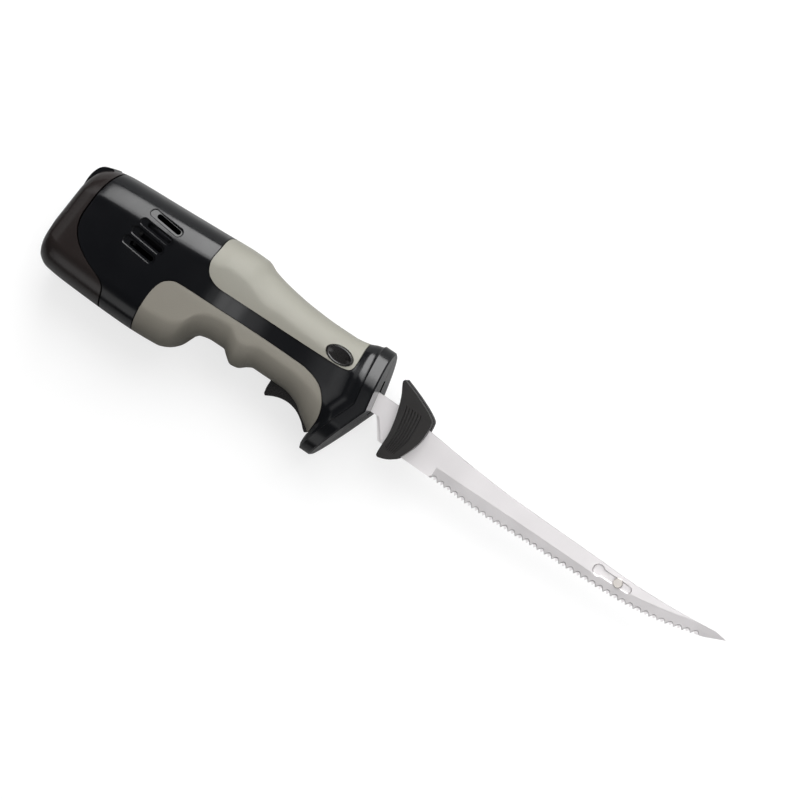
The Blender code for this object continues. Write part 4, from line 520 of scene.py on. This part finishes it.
def gloss_abs_material():
    """Gloss ABS from a polished mould: deep black, mirror-like, with faint handling haze."""
    made, tree = new_material("gloss_black_abs")
    place = add_node(tree, "TexCoord").outputs["Object"]
    haze = add_node(tree, "TexNoise", Vector=place, Scale=45.0, Detail=4.0)
    rough = mapped(tree, haze.outputs[0], (0.35, 0.75), (0.18, 0.25))
    flow = add_node(tree, "TexNoise", Vector=place, Scale=160.0, Detail=2.0)
    bump = add_node(tree, "Bump", Height=flow.outputs[0], Strength=0.04, Distance=0.0004)
    principled(tree, Base_Color=linear("#08090C"), Roughness=rough, IOR=1.50, Normal=bump.outputs[0])
    return made


gloss_abs = gloss_abs_material()
cavity = hollow("cavity")
ribs = [rib(x, MOTOR_RIB_FOOT, rod("X", (0, MOTOR_Y, 0), MOTOR_R + GAP, x - RIB, x + 2 * RIB))
        for x in MOTOR_RIBS]
ribs += [rib(x, foot, box((x - RIB, x + 2 * RIB), window, (-half, half)))
         for x, foot, window, half in BOXED_RIBS]
ribs.append(as_object("shelf", box(*SHELF)))
for side in (1, -1):
    ribs += [as_object("cheek", sided(box(*cheek), side)) for cheek in CHEEKS]
ribs += [as_object("post", rod("Z", (x, y, 0), POST_R, -FAR, FAR, 32)) for x, y in SCREWS]
carve(cavity, "DIFFERENCE", *ribs)
front_zone = [(x + SEAM / 2, y) for x, y in smoothed(PACK_SEAM)] + [(0.30, -FAR), (0.30, 0.040)]
for side, name in ((1, "right"), (-1, "left")):
    half = as_object(name + "_housing_shell", body_form(0))
    carve(half, "INTERSECT", as_object("zone", sided(prism(front_zone, PART_GAP, FAR), side)))
    cutters = [cavity.copy()]
    cutters[0].data = cavity.data.copy()
    bpy.context.scene.collection.objects.link(cutters[0])
    for outline in (UPPER_GRIP, LOWER_GRIP):
        pocket = as_object("pocket", sided(prism(grown(smoothed(outline), POCKET_MARGIN), -0.0006,
                                                FAR), side))
        cutters.append(carve(pocket, "DIFFERENCE", as_object("under", body_form(GRIP_SKIN + GAP))))
    for i in range(VENT_COUNT):
        cutters += [as_object("vent", sided(shape, side)) for shape in vent_cutters(i)]
    cutters.append(button_bore(side))
    cutters.append(as_object("trigger_slot", prism(TRIGGER_SLOT, -SLOT_HALF, SLOT_HALF)))
    cutters.append(as_object("pin_bore", rod("Z", (*PIVOT, 0), PIN_R, -PIN_HALF, PIN_HALF)))
    cutters.append(as_object("blade_slot", box(*BLADE_SLOT)))
    for x, y in SCREWS:
        seat = SCREW_SINK - side_at(x, y) + GAP
        cutters.append(as_object("screw_bore", turned(
            [(-FAR, 0), (-FAR, SCREW_BORE_R), (seat, SCREW_BORE_R), (seat, SCREW_BORE_R / 2),
             (SCREW_BORE_END, SCREW_BORE_R / 2), (SCREW_BORE_END, 0)], "Z", (x, y, 0), 32)))
    carve(half, "DIFFERENCE", *cutters)
    add_piece(half, gloss_abs, "handle", name + "_housing")


# Soft grips. Each half carries an upper and a lower pad of warm grey thermoplastic rubber, moulded into
# shallow pockets of the shell. They end flush with it, with a fine line all round, and the lower pad
# follows the finger waves.
def soft_rubber_material():
    """TPE overmould: matte and finely stippled, with painted shade that darkens it lower down."""
    made, tree = new_material("soft_grey_tpe")
    place = add_node(tree, "TexCoord").outputs["Object"]
    stipple = add_node(tree, "TexNoise", Vector=place, Scale=1500.0, Detail=2.0)
    cloud = add_node(tree, "TexNoise", Vector=place, Scale=30.0, Detail=3.0)
    height = add_node(tree, "SeparateXYZ", Vector=place).outputs["Y"]
    # Painted shade: the colour runs from a darker, warmer tone at the bottom to a lighter one at the top.
    painted_shade = mapped(tree, height, (ORIGIN.y - 0.008, ORIGIN.y + 0.018), (0.0, 0.8))
    shade = add_node(tree, "Math", {"operation": "MULTIPLY_ADD"}, i0=cloud.outputs[0], i1=0.2, i2=painted_shade)
    colour = add_node(tree, "ValToRGB", Fac=shade.outputs[0])
    shaded_end, lit_end = colour.color_ramp.elements
    shaded_end.color = linear("#736F66")
    lit_end.color = linear("#8A8980")
    rough = mapped(tree, stipple.outputs[0], (0.3, 0.7), (0.55, 0.68))
    bump = add_node(tree, "Bump", Height=stipple.outputs[0], Strength=0.25, Distance=0.0002)
    principled(tree, Base_Color=colour.outputs[0], Roughness=rough, IOR=1.49, Normal=bump.outputs[0])
    return made


soft_rubber = soft_rubber_material()
for side, name in ((1, "right"), (-1, "left")):
    for label, outline, screw in (("upper", UPPER_GRIP, SCREWS[3]), ("lower", LOWER_GRIP, SCREWS[2])):
        pad_edge = grown(smoothed(outline), -PAD_MARGIN)
        pad = as_object(f"{label}_{name}_pad", sided(prism(pad_edge, PART_GAP, FAR), side))
        carve(pad, "INTERSECT", as_object("body", body_form(0)))
        cutters = [as_object("back", body_form(GRIP_SKIN))]
        if label == "upper":
            cutters.append(button_bore(side))
        else:
            cutters.append(as_object("trigger_slot", box((SLOT_REAR, SLOT_FRONT), (-FAR, SLOT_STEP),
                                                         (-SLOT_HALF, SLOT_HALF))))
        if side < 0:
            cutters.append(as_object("screw_bore", rod("Z", (*screw, 0), SCREW_BORE_R, -FAR, 0)))
        carve(pad, "DIFFERENCE", *cutters)
        add_piece(pad, soft_rubber, "handle", f"{label}_grip_{name}")
bpy.data.objects.remove(cavity)


# Housing screws. Five zinc-plated pan-head screws with a cross recess go in from the left side and cut
# their own thread in the posts of the right half. Two of them pass through the soft grips.
SCREW_HEAD = [(-0.0018, 0), (-0.0018, 0.0012), (-0.0015, 0.0021), (-0.0009, 0.0026), (-0.0004, 0.0027),
              (0, 0.0027), (0, 0.0013)]
SCREW_TIP, THREAD_PITCH, THREAD_R, CORE_R = 0.0080, 0.0006, 0.0014, 0.0012
RECESS_ARM, RECESS_HALF = 0.0015, 0.0003


def metal_material(name, colour, rough, grain, depth):
    """Bare metal: near-flat reflectance, and fine tool marks whose scale per metre is given by axis."""
    made, tree = new_material(name)
    place = add_node(tree, "TexCoord").outputs["Object"]
    stretched = add_node(tree, "Mapping", Vector=place, Scale=grain)
    marks = add_node(tree, "TexNoise", Vector=stretched.outputs[0], Scale=1.0, Detail=3.0)
    cloud = add_node(tree, "TexNoise", Vector=place, Scale=60.0, Detail=2.0)
    mixed = add_node(tree, "Math", {"operation": "MULTIPLY"}, i0=marks.outputs[0], i1=cloud.outputs[0])
    roughness = mapped(tree, mixed.outputs[0], (0.12, 0.40), (rough * 0.85, rough * 1.15))
    bump = add_node(tree, "Bump", Height=marks.outputs[0], Strength=depth, Distance=0.0001)
    principled(tree, Base_Color=linear(colour), Metallic=1.0, Roughness=roughness,
               Normal=bump.outputs[0])
    return made


zinc_plate = metal_material("zinc_plated_steel", "#B9BCC0", 0.30, (900, 900, 900), 0.10)
for i, (x, y) in enumerate(SCREWS):
    seat = SCREW_SINK - side_at(x, y)
    head = [(seat + along_axis, radius) for along_axis, radius in SCREW_HEAD]
    thread = [(SCREW_TIP - THREAD_PITCH * k / 2, THREAD_R if k % 2 else CORE_R) for k in range(1, 26)]
    screw = as_object("screw", turned(
        head + thread[::-1] + [(SCREW_TIP, 0.0008), (SCREW_TIP, 0)], "Z", (x, y, 0), 40))
    for wide, high in ((RECESS_ARM, RECESS_HALF), (RECESS_HALF, RECESS_ARM)):
        carve(screw, "DIFFERENCE", as_object("recess", box(
            (x - wide, x + wide), (y - high, y + high), (seat - 0.0025, seat - 0.0008))))
    add_piece(screw, zinc_plate, "handle", f"housing_screw_{i + 1}")


# Battery pack shell. The rear cap and the underside are one satin black moulding behind the S-shaped
# seam. It slides straight back off the housing, and has a pocket for the latch and a hole for the jack.
def moulded_material(name, colour, rough, stipple, depth):
    """Moulded plastic with the texture of its mould: stipple is its scale per metre."""
    made, tree = new_material(name)
    place = add_node(tree, "TexCoord").outputs["Object"]
    grain = add_node(tree, "TexNoise", Vector=place, Scale=stipple, Detail=2.0)
    cloud = add_node(tree, "TexNoise", Vector=place, Scale=40.0, Detail=3.0)
    both = add_node(tree, "Math", {"operation": "ADD"}, i0=grain.outputs[0], i1=cloud.outputs[0])
    roughness = mapped(tree, both.outputs[0], (0.7, 1.3), (rough * 0.88, rough * 1.12))
    bump = add_node(tree, "Bump", Height=grain.outputs[0], Strength=depth, Distance=0.0001)
    principled(tree, Base_Color=linear(colour), Roughness=roughness, IOR=1.50, Normal=bump.outputs[0])
    return made


LATCH_BAND, LATCH_DEEP, LATCH_HALF = (0.0080, 0.0338), 0.003, 0.0088
JACK_Y, JACK_R = -0.0040, 0.0042
COVER_REAR = 0.0080


def diagonal_block(across, along, half):
    """Block whose sides lie at 45 degrees to X and Y, for the rear top corner."""
    pairs = ((across[0], along[0]), (across[1], along[0]), (across[1], along[1]), (across[0], along[1]))
    return prism([((a + b) / 2, (a - b) / 2) for a, b in pairs], -half, half)


satin_abs = moulded_material("satin_black_abs", "#201B1A", 0.24, 2200.0, 0.25)
rear_zone = [(x - SEAM / 2, y) for x, y in smoothed(PACK_SEAM)] + [(-FAR, -FAR), (-FAR, 0.040)]
pack = as_object("battery_pack_shell", body_form(0))
carve(pack, "INTERSECT", as_object("zone", prism(rear_zone, -FAR, FAR)))
carve(pack, "DIFFERENCE",
      hollow("hollow"),
      as_object("latch_pocket", diagonal_block((LATCH_BAND[0] - GAP, LATCH_BAND[1] + GAP),
                                               (-FAR, LATCH_DEEP + 0.001), LATCH_HALF + GAP)),
      as_object("jack_hole", rod("X", (0, JACK_Y, 0), JACK_R + GAP, -FAR, COVER_REAR)))
add_piece(pack, satin_abs, "battery_pack", "pack_shell")


# Pack latch. A gloss black thumb button wraps the rear top corner with a round back that stands a little
# proud. Its lip keeps it in the pack, and its arm hooks into the housing's bulkhead.
LATCH_BACK = [(0.0140, -0.0050), (0.0010, 0.0040), (-0.0010, 0.0085), (-0.0014, 0.0115),
              (-0.0014, 0.0145), (-0.0010, 0.0175), (-0.0001, 0.0203), (0.0014, 0.0228),
              (0.0035, 0.0245), (0.0060, 0.0253), (0.0090, 0.0259), (0.0200, 0.0265)]
LATCH_LIP = 0.0012
ARM_FOOT, ARM_TOP, ARM_HALF = 0.0184, 0.0197, 0.0040
HOOK_REAR, HOOK_FRONT, HOOK_TOP = 0.0213, 0.0230, 0.0206
latch = as_object("latch_button", prism(smoothed(LATCH_BACK) + [(0.0200, -0.0050)], -FAR, FAR))
carve(latch, "INTERSECT", as_object("zone", diagonal_block(LATCH_BAND, (-FAR, LATCH_DEEP), LATCH_HALF)))
lip = as_object("lip", body_form(REAR_WALL + GAP, REAR_X + REAR_WALL + GAP))
carve(lip, "INTERSECT", as_object("zone", diagonal_block(
    (LATCH_BAND[0] - 4 * GAP, LATCH_BAND[1] - GAP), (-FAR, LATCH_DEEP - 0.002), LATCH_HALF + 4 * GAP)))
carve(latch, "UNION", lip)
latch_back = REAR_WALL + GAP + LATCH_LIP
carve(latch, "DIFFERENCE", as_object("back", body_form(latch_back, REAR_X + latch_back)))
carve(latch, "UNION", as_object("arm", prism(
    [(REAR_X + latch_back, ARM_FOOT), (HOOK_FRONT, ARM_FOOT), (HOOK_FRONT, ARM_TOP), (0.0218, HOOK_TOP),
     (HOOK_REAR, HOOK_TOP), (HOOK_REAR, ARM_TOP), (REAR_X + latch_back, ARM_TOP)], -ARM_HALF, ARM_HALF)))
add_piece(latch, gloss_abs, "latch", "pack_latch", edge=0.0006, segments=3)


# Charging jack. A barrel socket in a black nylon block looks out of the pack's rear face below the
# latch, with a brass centre pin.
JACK_HALF, JACK_BORE_R, JACK_FLOOR, JACK_PIN_R = 0.0047, 0.0029, 0.0015, 0.0010
nylon = moulded_material("black_nylon", "#0C0A0A", 0.27, 1600.0, 0.35)
brass = metal_material("turned_brass", "#D8B56A", 0.26, (400, 2600, 2600), 0.12)
jack_front = COVER_REAR - GAP
jack = as_object("jack", box((0.0022, jack_front), (JACK_Y - JACK_HALF, JACK_Y + JACK_HALF),
                             (-JACK_HALF, JACK_HALF)))
carve(jack, "UNION", as_object("collar", turned(
    [(-0.0006, 0), (-0.0006, JACK_R - 0.0003), (-0.0003, JACK_R), (0.0042, JACK_R), (0.0042, 0)], "X",
    (0, JACK_Y, 0), 64)))
carve(jack, "DIFFERENCE", as_object("bore", turned(
    [(-FAR, 0), (-FAR, 0.0033), (-0.0006, 0.0033), (-0.0002, JACK_BORE_R),
     (jack_front - JACK_FLOOR, JACK_BORE_R), (jack_front - JACK_FLOOR, 0)], "X", (0, JACK_Y, 0), 64)))
add_piece(jack, nylon, "battery_pack", "charge_jack")
pin_end = jack_front - JACK_FLOOR - GAP
pin = as_object("centre_pin", turned(
    [(0.0004, 0), (0.0004, JACK_PIN_R / 2), (0.0010, JACK_PIN_R), (pin_end, JACK_PIN_R), (pin_end, 0)],
    "X", (0, JACK_Y, 0), 32))
add_piece(pin, brass, "battery_pack", "jack_pin")


# Release buttons. An oval black button on each side, dished for the fingertip, pushes a leaf clip that
# lets its blade out. Two ears keep it in the shell and a round stem reaches the clip.
BUTTON_ROOT, BUTTON_PROUD = 0.0100, 0.0011
EAR_REACH, EAR_HALF = 0.0021, 0.0007
STEM_R, STEM_FOOT = 0.0020, 0.0056


def skin(shape, rings):
    """Faces between the rings of a tube, and its two ends."""
    for one, two in zip(rings, rings[1:]):
        for a, b, c, d in zip(one, one[1:] + one[:1], two[1:] + two[:1], two):
            shape.faces.new((a, b, c, d))
    shape.faces.new(rings[0])
    shape.faces.new(rings[-1])


button_top = side_at(BUTTON[0] + 0.003, BUTTON[1]) + BUTTON_PROUD
button_steps = [(1.0, BUTTON_ROOT), (1.0, button_top - 0.0008), (0.985, button_top - 0.0003),
                (0.95, button_top - 0.0001), (0.90, button_top), (0.84, button_top - 0.0001),
                (0.78, button_top - 0.0004), (0.45, button_top - 0.0005), (0.20, button_top - 0.0005)]
for side, name in ((1, "right"), (-1, "left")):
    shape = bmesh.new()
    rings = []
    for share, z in button_steps:
        ring = oval(BUTTON, BUTTON_LENGTH * share, BUTTON_HEIGHT * share, 72)
        rings.append([shape.verts.new((x, y, z)) for x, y in ring])
    skin(shape, rings)
    bmesh.ops.recalc_face_normals(shape, faces=shape.faces)
    button = as_object("button_" + name, sided(shape, side))
    reach = BUTTON_LENGTH / 2 + EAR_REACH
    ears = box((BUTTON[0] - reach, BUTTON[0] + reach),
               (BUTTON[1] - BUTTON_HEIGHT / 2, BUTTON[1] + BUTTON_HEIGHT / 8),
               (BUTTON_ROOT - EAR_HALF, BUTTON_ROOT + EAR_HALF))
    carve(button, "UNION", as_object("ears", sided(ears, side)))
    carve(button, "UNION", as_object("stem", sided(
        rod("Z", (*BUTTON, 0), STEM_R, STEM_FOOT, BUTTON_ROOT + 2 * EAR_HALF, 32), side)))
    add_piece(button, nylon, name + "_button", "release_button_" + name)


# Trigger. A curved black lever under the grip, moulded in nylon, turns on a steel pin between the
# halves. The forefinger pulls its hollow front up into the slot, against a coil spring.
TRIGGER_HALF, BOSS_R = 0.0060, 0.0032
finger = smoothed([(0.1411, -0.0289), (0.1452, -0.0268), (0.1493, -0.0255), (0.1545, -0.0252),
                   (0.1597, -0.0265), (0.1649, -0.0297), (0.1680, -0.0326), (0.1694, -0.0333),
                   (0.1701, -0.0322)])
boss = [(PIVOT[0] + BOSS_R * math.cos(math.radians(a)), PIVOT[1] + BOSS_R * math.sin(math.radians(a)))
        for a in range(-20, 101, 6)]
inside = [(0.1620, -0.0204), (0.1490, -0.0204), (0.1480, -0.0195), (0.1460, -0.0195),
          (0.1450, -0.0204), (0.1410, -0.0204), (0.1410, -0.0140), (0.1378, -0.0140),
          (0.1378, -0.0164), (0.1394, -0.0164), (0.1394, -0.0245), (0.1400, -0.0280)]
trigger = as_object("trigger_lever_moulding", prism(finger + boss + inside, -TRIGGER_HALF,
                                                  TRIGGER_HALF))
carve(trigger, "DIFFERENCE", as_object("bore", rod("Z", (*PIVOT, 0), PIN_R, -FAR, FAR)))
add_piece(trigger, nylon, "trigger_lever", "trigger", edge=0.0005, segments=3)


# Blades. Two toothed blades of hardened stainless steel lie face to face with a hair's gap and slide
# against each other. Each is stamped, then ground from a line along its side to the scalloped edge.
BLADE_IN, BLADE_OUT = PART_GAP, PART_GAP + 0.0010
EDGE_LAND = 0.00025
TANG_REAR, TANG_TOP, TANG_FOOT = 0.1450, 0.0056, -0.0051
EDGE_LINE = [(0.2372, -0.0165), (0.2681, -0.0177), (0.2998, -0.0166), (0.3316, -0.0158),
             (0.3570, -0.0146), (0.3761, -0.0120), (0.3924, -0.0082), (0.4021, -0.0052)]
SPINE_LINE = [(0.2239, 0.0036), (0.2493, 0.0010), (0.2747, -0.0009), (0.2998, -0.0016),
              (0.3316, -0.0022), (0.3570, -0.0028), (0.3761, -0.0022), (0.3924, -0.0010),
              (0.4053, 0.0004)]
GRIND_LINE = [(0.2372, -0.0101), (0.2998, -0.0099), (0.3316, -0.0101), (0.3570, -0.0082),
              (0.3761, -0.0050), (0.3924, -0.0012), (0.4053, 0.0016), (TIP_X, 0.0030)]
EDGE_CURVE = sorted(smoothed(EDGE_LINE, 6))
TOOTH, GULLET, GULLET_STEPS, BEVEL = 0.0045, 0.0019, 16, 0.0012
GRIND_STEPS, GRIND_REACH = 120, 0.0030
KEYHOLE_X, KEYHOLE_Y = (0.3375, 0.3573), -0.0071
KEYHOLE_HEIGHT, KEYHOLE_ENTRY_R, RIM_DEPTH, RIM_BEVEL = 0.0034, 0.0029, 0.0006, 0.0011
RIVET_X = 0.3495
GUARD_PEGS = [(0.2120, 0.0015), (0.2135, -0.0115)]


def blade_outline(shift):
    """Outline of one blade. The shift sets back its heel and its teeth."""
    top = [(TANG_REAR, TANG_TOP), (SPINE_LINE[0][0] - 0.006, TANG_TOP)] + smoothed(SPINE_LINE)
    foot = [(TANG_REAR, TANG_FOOT), (0.1976 - shift, TANG_FOOT), (0.2054 - shift, -0.0160),
            (EDGE_LINE[0][0] - TOOTH, EDGE_LINE[0][1])]
    return foot + EDGE_CURVE + [(TIP_X, -0.0006)] + top[::-1]


def gullets(shift):
    """One cutter for each gullet of the edge, with a bevel that widens towards the outer face."""
    cutters = []
    for i in range(int((EDGE_LINE[-1][0] - EDGE_LINE[0][0]) / TOOTH)):
        start = EDGE_LINE[0][0] - shift + i * TOOTH
        outline = [(start, line_at(EDGE_CURVE, start) - 0.004)]
        for k in range(1, GULLET_STEPS):
            x = start + TOOTH * k / GULLET_STEPS
            depth = GULLET * (1.4 * math.sin(math.pi * k / GULLET_STEPS) - 0.4)
            outline.append((x, line_at(EDGE_CURVE, x) + depth))
        outline.append((start + TOOTH, line_at(EDGE_CURVE, start + TOOTH) - 0.004))
        cutters.append(prism(outline, BLADE_IN - 0.0002, BLADE_OUT + 0.0002, BEVEL))
    return cutters


def ground_away(shift):
    """What the grinding wheel takes off a blade's face, from the grind line down past the edge."""
    shape = bmesh.new()
    envelope = EDGE_CURVE + [(TIP_X, -0.0030)]
    rings = []
    for i in range(GRIND_STEPS + 1):
        x = EDGE_LINE[0][0] - shift + (TIP_X + 0.004 - EDGE_LINE[0][0] + shift) * i / GRIND_STEPS
        high, low = line_at(GRIND_LINE, x), line_at(envelope, x)
        rise = (BLADE_OUT - BLADE_IN - EDGE_LAND) / (high - low)
        foot, head = low - GRIND_REACH, high + 0.0002
        rings.append([shape.verts.new((x, foot, BLADE_IN + EDGE_LAND - GRIND_REACH * rise)),
                      shape.verts.new((x, head, BLADE_OUT + 0.0002 * rise)),
                      shape.verts.new((x, head, BLADE_OUT + 0.0010)),
                      shape.verts.new((x, foot, BLADE_OUT + 0.0010))])
    skin(shape, rings)
    bmesh.ops.triangulate(shape, faces=shape.faces)
    bmesh.ops.recalc_face_normals(shape, faces=shape.faces)
    return shape


blade_steel = metal_material("ground_stainless_steel", "#EAE7E8", 0.50, (5200, 160, 160), 0.06)
keyhole_slot = stadium(((KEYHOLE_X[0] + KEYHOLE_X[1]) / 2, KEYHOLE_Y), KEYHOLE_X[1] - KEYHOLE_X[0],
                       KEYHOLE_HEIGHT, 0)
keyhole_entry = oval((KEYHOLE_X[0], KEYHOLE_Y), 2 * KEYHOLE_ENTRY_R, 2 * KEYHOLE_ENTRY_R)
for side, name, shift in ((1, "right", 0), (-1, "left", 0.0022)):
    blade = as_object("blade_" + name + "_ground", sided(prism(blade_outline(shift), BLADE_IN, BLADE_OUT),
                                                         side))
    cutters = [as_object("grind", sided(ground_away(shift), side))]
    cutters += [as_object("gullet", sided(cutter, side)) for cutter in gullets(shift)]
    cutters += [as_object("peg_hole", rod("Z", (x, y, 0), 0.0015, -FAR, FAR)) for x, y in GUARD_PEGS]
    if side > 0:
        keyhole = as_object("keyhole", prism(keyhole_slot, -FAR, FAR))
        carve(keyhole, "UNION", as_object("entry", rod("Z", (KEYHOLE_X[0], KEYHOLE_Y, 0),
                                                       KEYHOLE_ENTRY_R, -FAR, 0.0590)))
        cutters.append(keyhole)
        cutters += [as_object("rim", prism(rim, BLADE_OUT - RIM_DEPTH, BLADE_OUT + RIM_DEPTH, RIM_BEVEL))
                    for rim in (keyhole_slot, keyhole_entry)]
    else:
        cutters.append(as_object("rivet_hole", rod("Z", (RIVET_X, KEYHOLE_Y, 0), 0.0013, -FAR, FAR)))
    carve(blade, "DIFFERENCE", *cutters)
    add_piece(blade, blade_steel, name + "_blade", "blade_" + name, crease=4)


# Blade rivet. A headed stainless rivet is set in the left blade and runs in the right blade's key-hole
# slot, so that the two tips stay together while the blades saw.
RIVET_R, RIVET_HEAD_R, RIVET_FOOT_R = 0.0012, 0.0026, 0.0021
rivet_steel = metal_material("rivet_stainless_steel", "#DAD5D0", 0.45, (1200, 1200, 300), 0.08)
rivet_seat = BLADE_OUT + GAP
rivet = as_object("rivet", turned(
    [(-BLADE_OUT - 0.0008, 0), (-BLADE_OUT - 0.0008, 0.0016), (-BLADE_OUT - 0.0005, RIVET_FOOT_R),
     (-BLADE_OUT - GAP, RIVET_FOOT_R), (-BLADE_OUT - GAP, RIVET_R), (rivet_seat, RIVET_R),
     (rivet_seat, RIVET_HEAD_R), (rivet_seat + 0.0005, RIVET_HEAD_R), (rivet_seat + 0.0008, 0.0023),
     (rivet_seat + 0.0008, 0)], "Z", (RIVET_X, KEYHOLE_Y, 0), 48))
add_piece(rivet, rivet_steel, "left_blade", "blade_rivet")


# Blade guards. A crescent of dark matte nylon on each blade's outer face keeps the fingers off the
# teeth when a blade is pulled. Its face has curved grooves, and two pegs hold it through the blade.
GUARD_OUTLINE = [(0.1989, 0.0193), (0.2110, 0.0150), (0.2222, 0.0094), (0.2236, 0.0058),
                 (0.2234, -0.0036), (0.2197, -0.0140), (0.2161, -0.0192), (0.2093, -0.0223),
                 (0.2076, -0.0214), (0.2072, -0.0088), (0.2052, 0.0016), (0.2020, 0.0110),
                 (0.1985, 0.0178)]
GUARD_REAR = [(-0.0214, 0.2076), (-0.0088, 0.2072), (0.0016, 0.2052), (0.0110, 0.2020),
              (0.0178, 0.1985)]
GUARD_FRONT = [(-0.0223, 0.2093), (-0.0192, 0.2161), (-0.0140, 0.2197), (-0.0036, 0.2234),
               (0.0058, 0.2236), (0.0094, 0.2222), (0.0150, 0.2110), (0.0193, 0.1989)]
GUARD_THICKNESS = 0.0058
GROOVES, GROOVE_SPAN, GROOVE_STEPS = (0.22, 0.31, 0.40, 0.49, 0.58, 0.67), (-0.0165, 0.0085), 24
GROOVE_HALF, GROOVE_DEPTH, PEG_R = 0.0004, 0.0010, 0.0014
guard_nylon = moulded_material("matte_dark_nylon", "#0E0B0A", 0.46, 1800.0, 0.40)
guard_low = BLADE_OUT + GAP
guard_high = guard_low + GUARD_THICKNESS
for side, name in ((1, "right"), (-1, "left")):
    guard_edge = smoothed(GUARD_OUTLINE + GUARD_OUTLINE[:1])[:-1]
    guard = as_object("guard_" + name, sided(prism(guard_edge, guard_low, guard_high), side))
    for share in GROOVES:
        left, right = [], []
        for i in range(GROOVE_STEPS + 1):
            y = GROOVE_SPAN[0] + (GROOVE_SPAN[1] - GROOVE_SPAN[0]) * i / GROOVE_STEPS
            rear, front = line_at(GUARD_REAR, y), line_at(GUARD_FRONT, y)
            half = GROOVE_HALF * math.sin(math.pi * (i + 0.6) / (GROOVE_STEPS + 1.2)) ** 0.4
            left.append((rear + share * (front - rear) - half, y))
            right.append((rear + share * (front - rear) + half, y))
        carve(guard, "DIFFERENCE", as_object("groove", sided(
            prism(left + right[::-1], guard_high - GROOVE_DEPTH, FAR), side)))
    for x, y in GUARD_PEGS:
        carve(guard, "UNION", as_object("peg", sided(
            rod("Z", (x, y, 0), PEG_R, BLADE_IN, guard_low + 0.0020, 32), side)))
    add_piece(guard, guard_nylon, name + "_blade", "blade_guard_" + name, edge=0.00035, segments=3)


# Coil springs. Two open coils, cold wound from spring steel wire, push the trigger down and the battery
# latch back out. One stands under a shelf of the housing and the other on the latch's back.
WIRE_R, WIRE_SIDES, COIL_STEPS = 0.0003, 10, 24
TRIGGER_COIL, TRIGGER_COIL_X, TRIGGER_COIL_R = (-0.0201, -0.0127), 0.1600, 0.0017
LATCH_COIL, LATCH_COIL_Y, LATCH_COIL_R = (0.0049, COVER_REAR - GAP), 0.0146, 0.0022


def coil(span, radius, turns):
    """Open coil of round wire along X, as one closed tube."""
    low, high = span[0] + WIRE_R, span[1] - WIRE_R
    lead = (high - low) / (turns * 2 * math.pi * radius)
    shape = bmesh.new()
    rings = []
    for i in range(turns * COIL_STEPS + 1):
        turn = 2 * math.pi * i / COIL_STEPS
        out = Vector((0, math.cos(turn), math.sin(turn)))
        up = Vector((lead, -math.sin(turn), math.cos(turn))).normalized().cross(out)
        middle = out * radius + Vector((low + (high - low) * i / (turns * COIL_STEPS), 0, 0))
        rings.append([shape.verts.new(middle + (out * math.cos(a) + up * math.sin(a)) * WIRE_R)
                      for a in (2 * math.pi * k / WIRE_SIDES for k in range(WIRE_SIDES))])
    skin(shape, rings)
    bmesh.ops.recalc_face_normals(shape, faces=shape.faces)
    return shape


spring_steel = metal_material("spring_steel_wire", "#A9A8A6", 0.28, (900, 900, 900), 0.10)
trigger_coil = as_object("trigger_coil", coil(TRIGGER_COIL, TRIGGER_COIL_R, turns=4))
trigger_coil.data.transform(Matrix.Translation((TRIGGER_COIL_X, 0, 0))
                            @ Matrix.Rotation(math.pi / 2, 4, "Z"))
add_piece(trigger_coil, spring_steel, "handle", "trigger_spring")
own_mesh(trigger_coil)
latch_coil = as_object("latch_coil", coil(LATCH_COIL, LATCH_COIL_R, turns=3))
latch_coil.data.transform(Matrix.Translation((0, LATCH_COIL_Y, 0)))
add_piece(latch_coil, spring_steel, "latch", "latch_spring")
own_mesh(latch_coil)


# Inner parts. The motor, gears, drivers, switch, cells and board keep their CAD shapes. Each gets the
# finish of what it's really made of; the motor can's black oxide and the board's black solder mask are
# also chosen dark as painted shade, for the shade inside the housing that shows through the vents.
# Dark steel of the motor can: black oxide, and also painted shade for the dark seen through the vents.
black_oxide_and_shade = metal_material("black_oxide_steel", "#2C2D30", 0.45, (1800, 220, 220), 0.08)
die_cast_zinc = metal_material("die_cast_zinc", "#A7A9AB", 0.42, (700, 700, 700), 0.30)
sintered_steel = metal_material("sintered_steel", "#8E8F91", 0.38, (1500, 1500, 1500), 0.25)
copper_wire = metal_material("enamelled_copper_wire", "#B4603A", 0.34, (240, 3200, 3200), 0.30)
ferrite = moulded_material("sintered_ferrite", "#3A3A3D", 0.62, 1400.0, 0.35)
acetal = moulded_material("white_acetal", "#E9E7DF", 0.36, 1200.0, 0.10)
pvc_sleeve = moulded_material("blue_pvc_shrink_sleeve", "#2C6A96", 0.30, 320.0, 0.30)
# Black solder mask: a real finish, also kept dark as painted shade behind the vents.
solder_mask_and_shade = moulded_material("black_solder_mask_fr4", "#0D1411", 0.32, 900.0, 0.20)
INNER_FINISHES = [
    (black_oxide_and_shade, "motor_can"),
    (acetal, "motor_endcap", "slider_guide", "switch_plunger"),
    (ferrite, "motor_magnet_upper", "motor_magnet_lower"),
    (copper_wire, "motor_armature"),
    (brass, "worm"),
    (sintered_steel, "eccentric_wheel"),
    (die_cast_zinc, "gear_frame"),
    (nylon, "switch_body", "cell_tray", "pack_socket", "body_plug", "pack_cover", "driver_right",
     "driver_left"),
    (spring_steel, "blade_clip_right", "blade_clip_left", "trigger_pin", "wheel_axle"),
    (pvc_sleeve, "cell_right", "cell_left"),
    (solder_mask_and_shade, "protection_board"),
]
for finish, *names in INNER_FINISHES:
    for name in names:
        for holder in nodes[name].material_slots:
            holder.material = finish
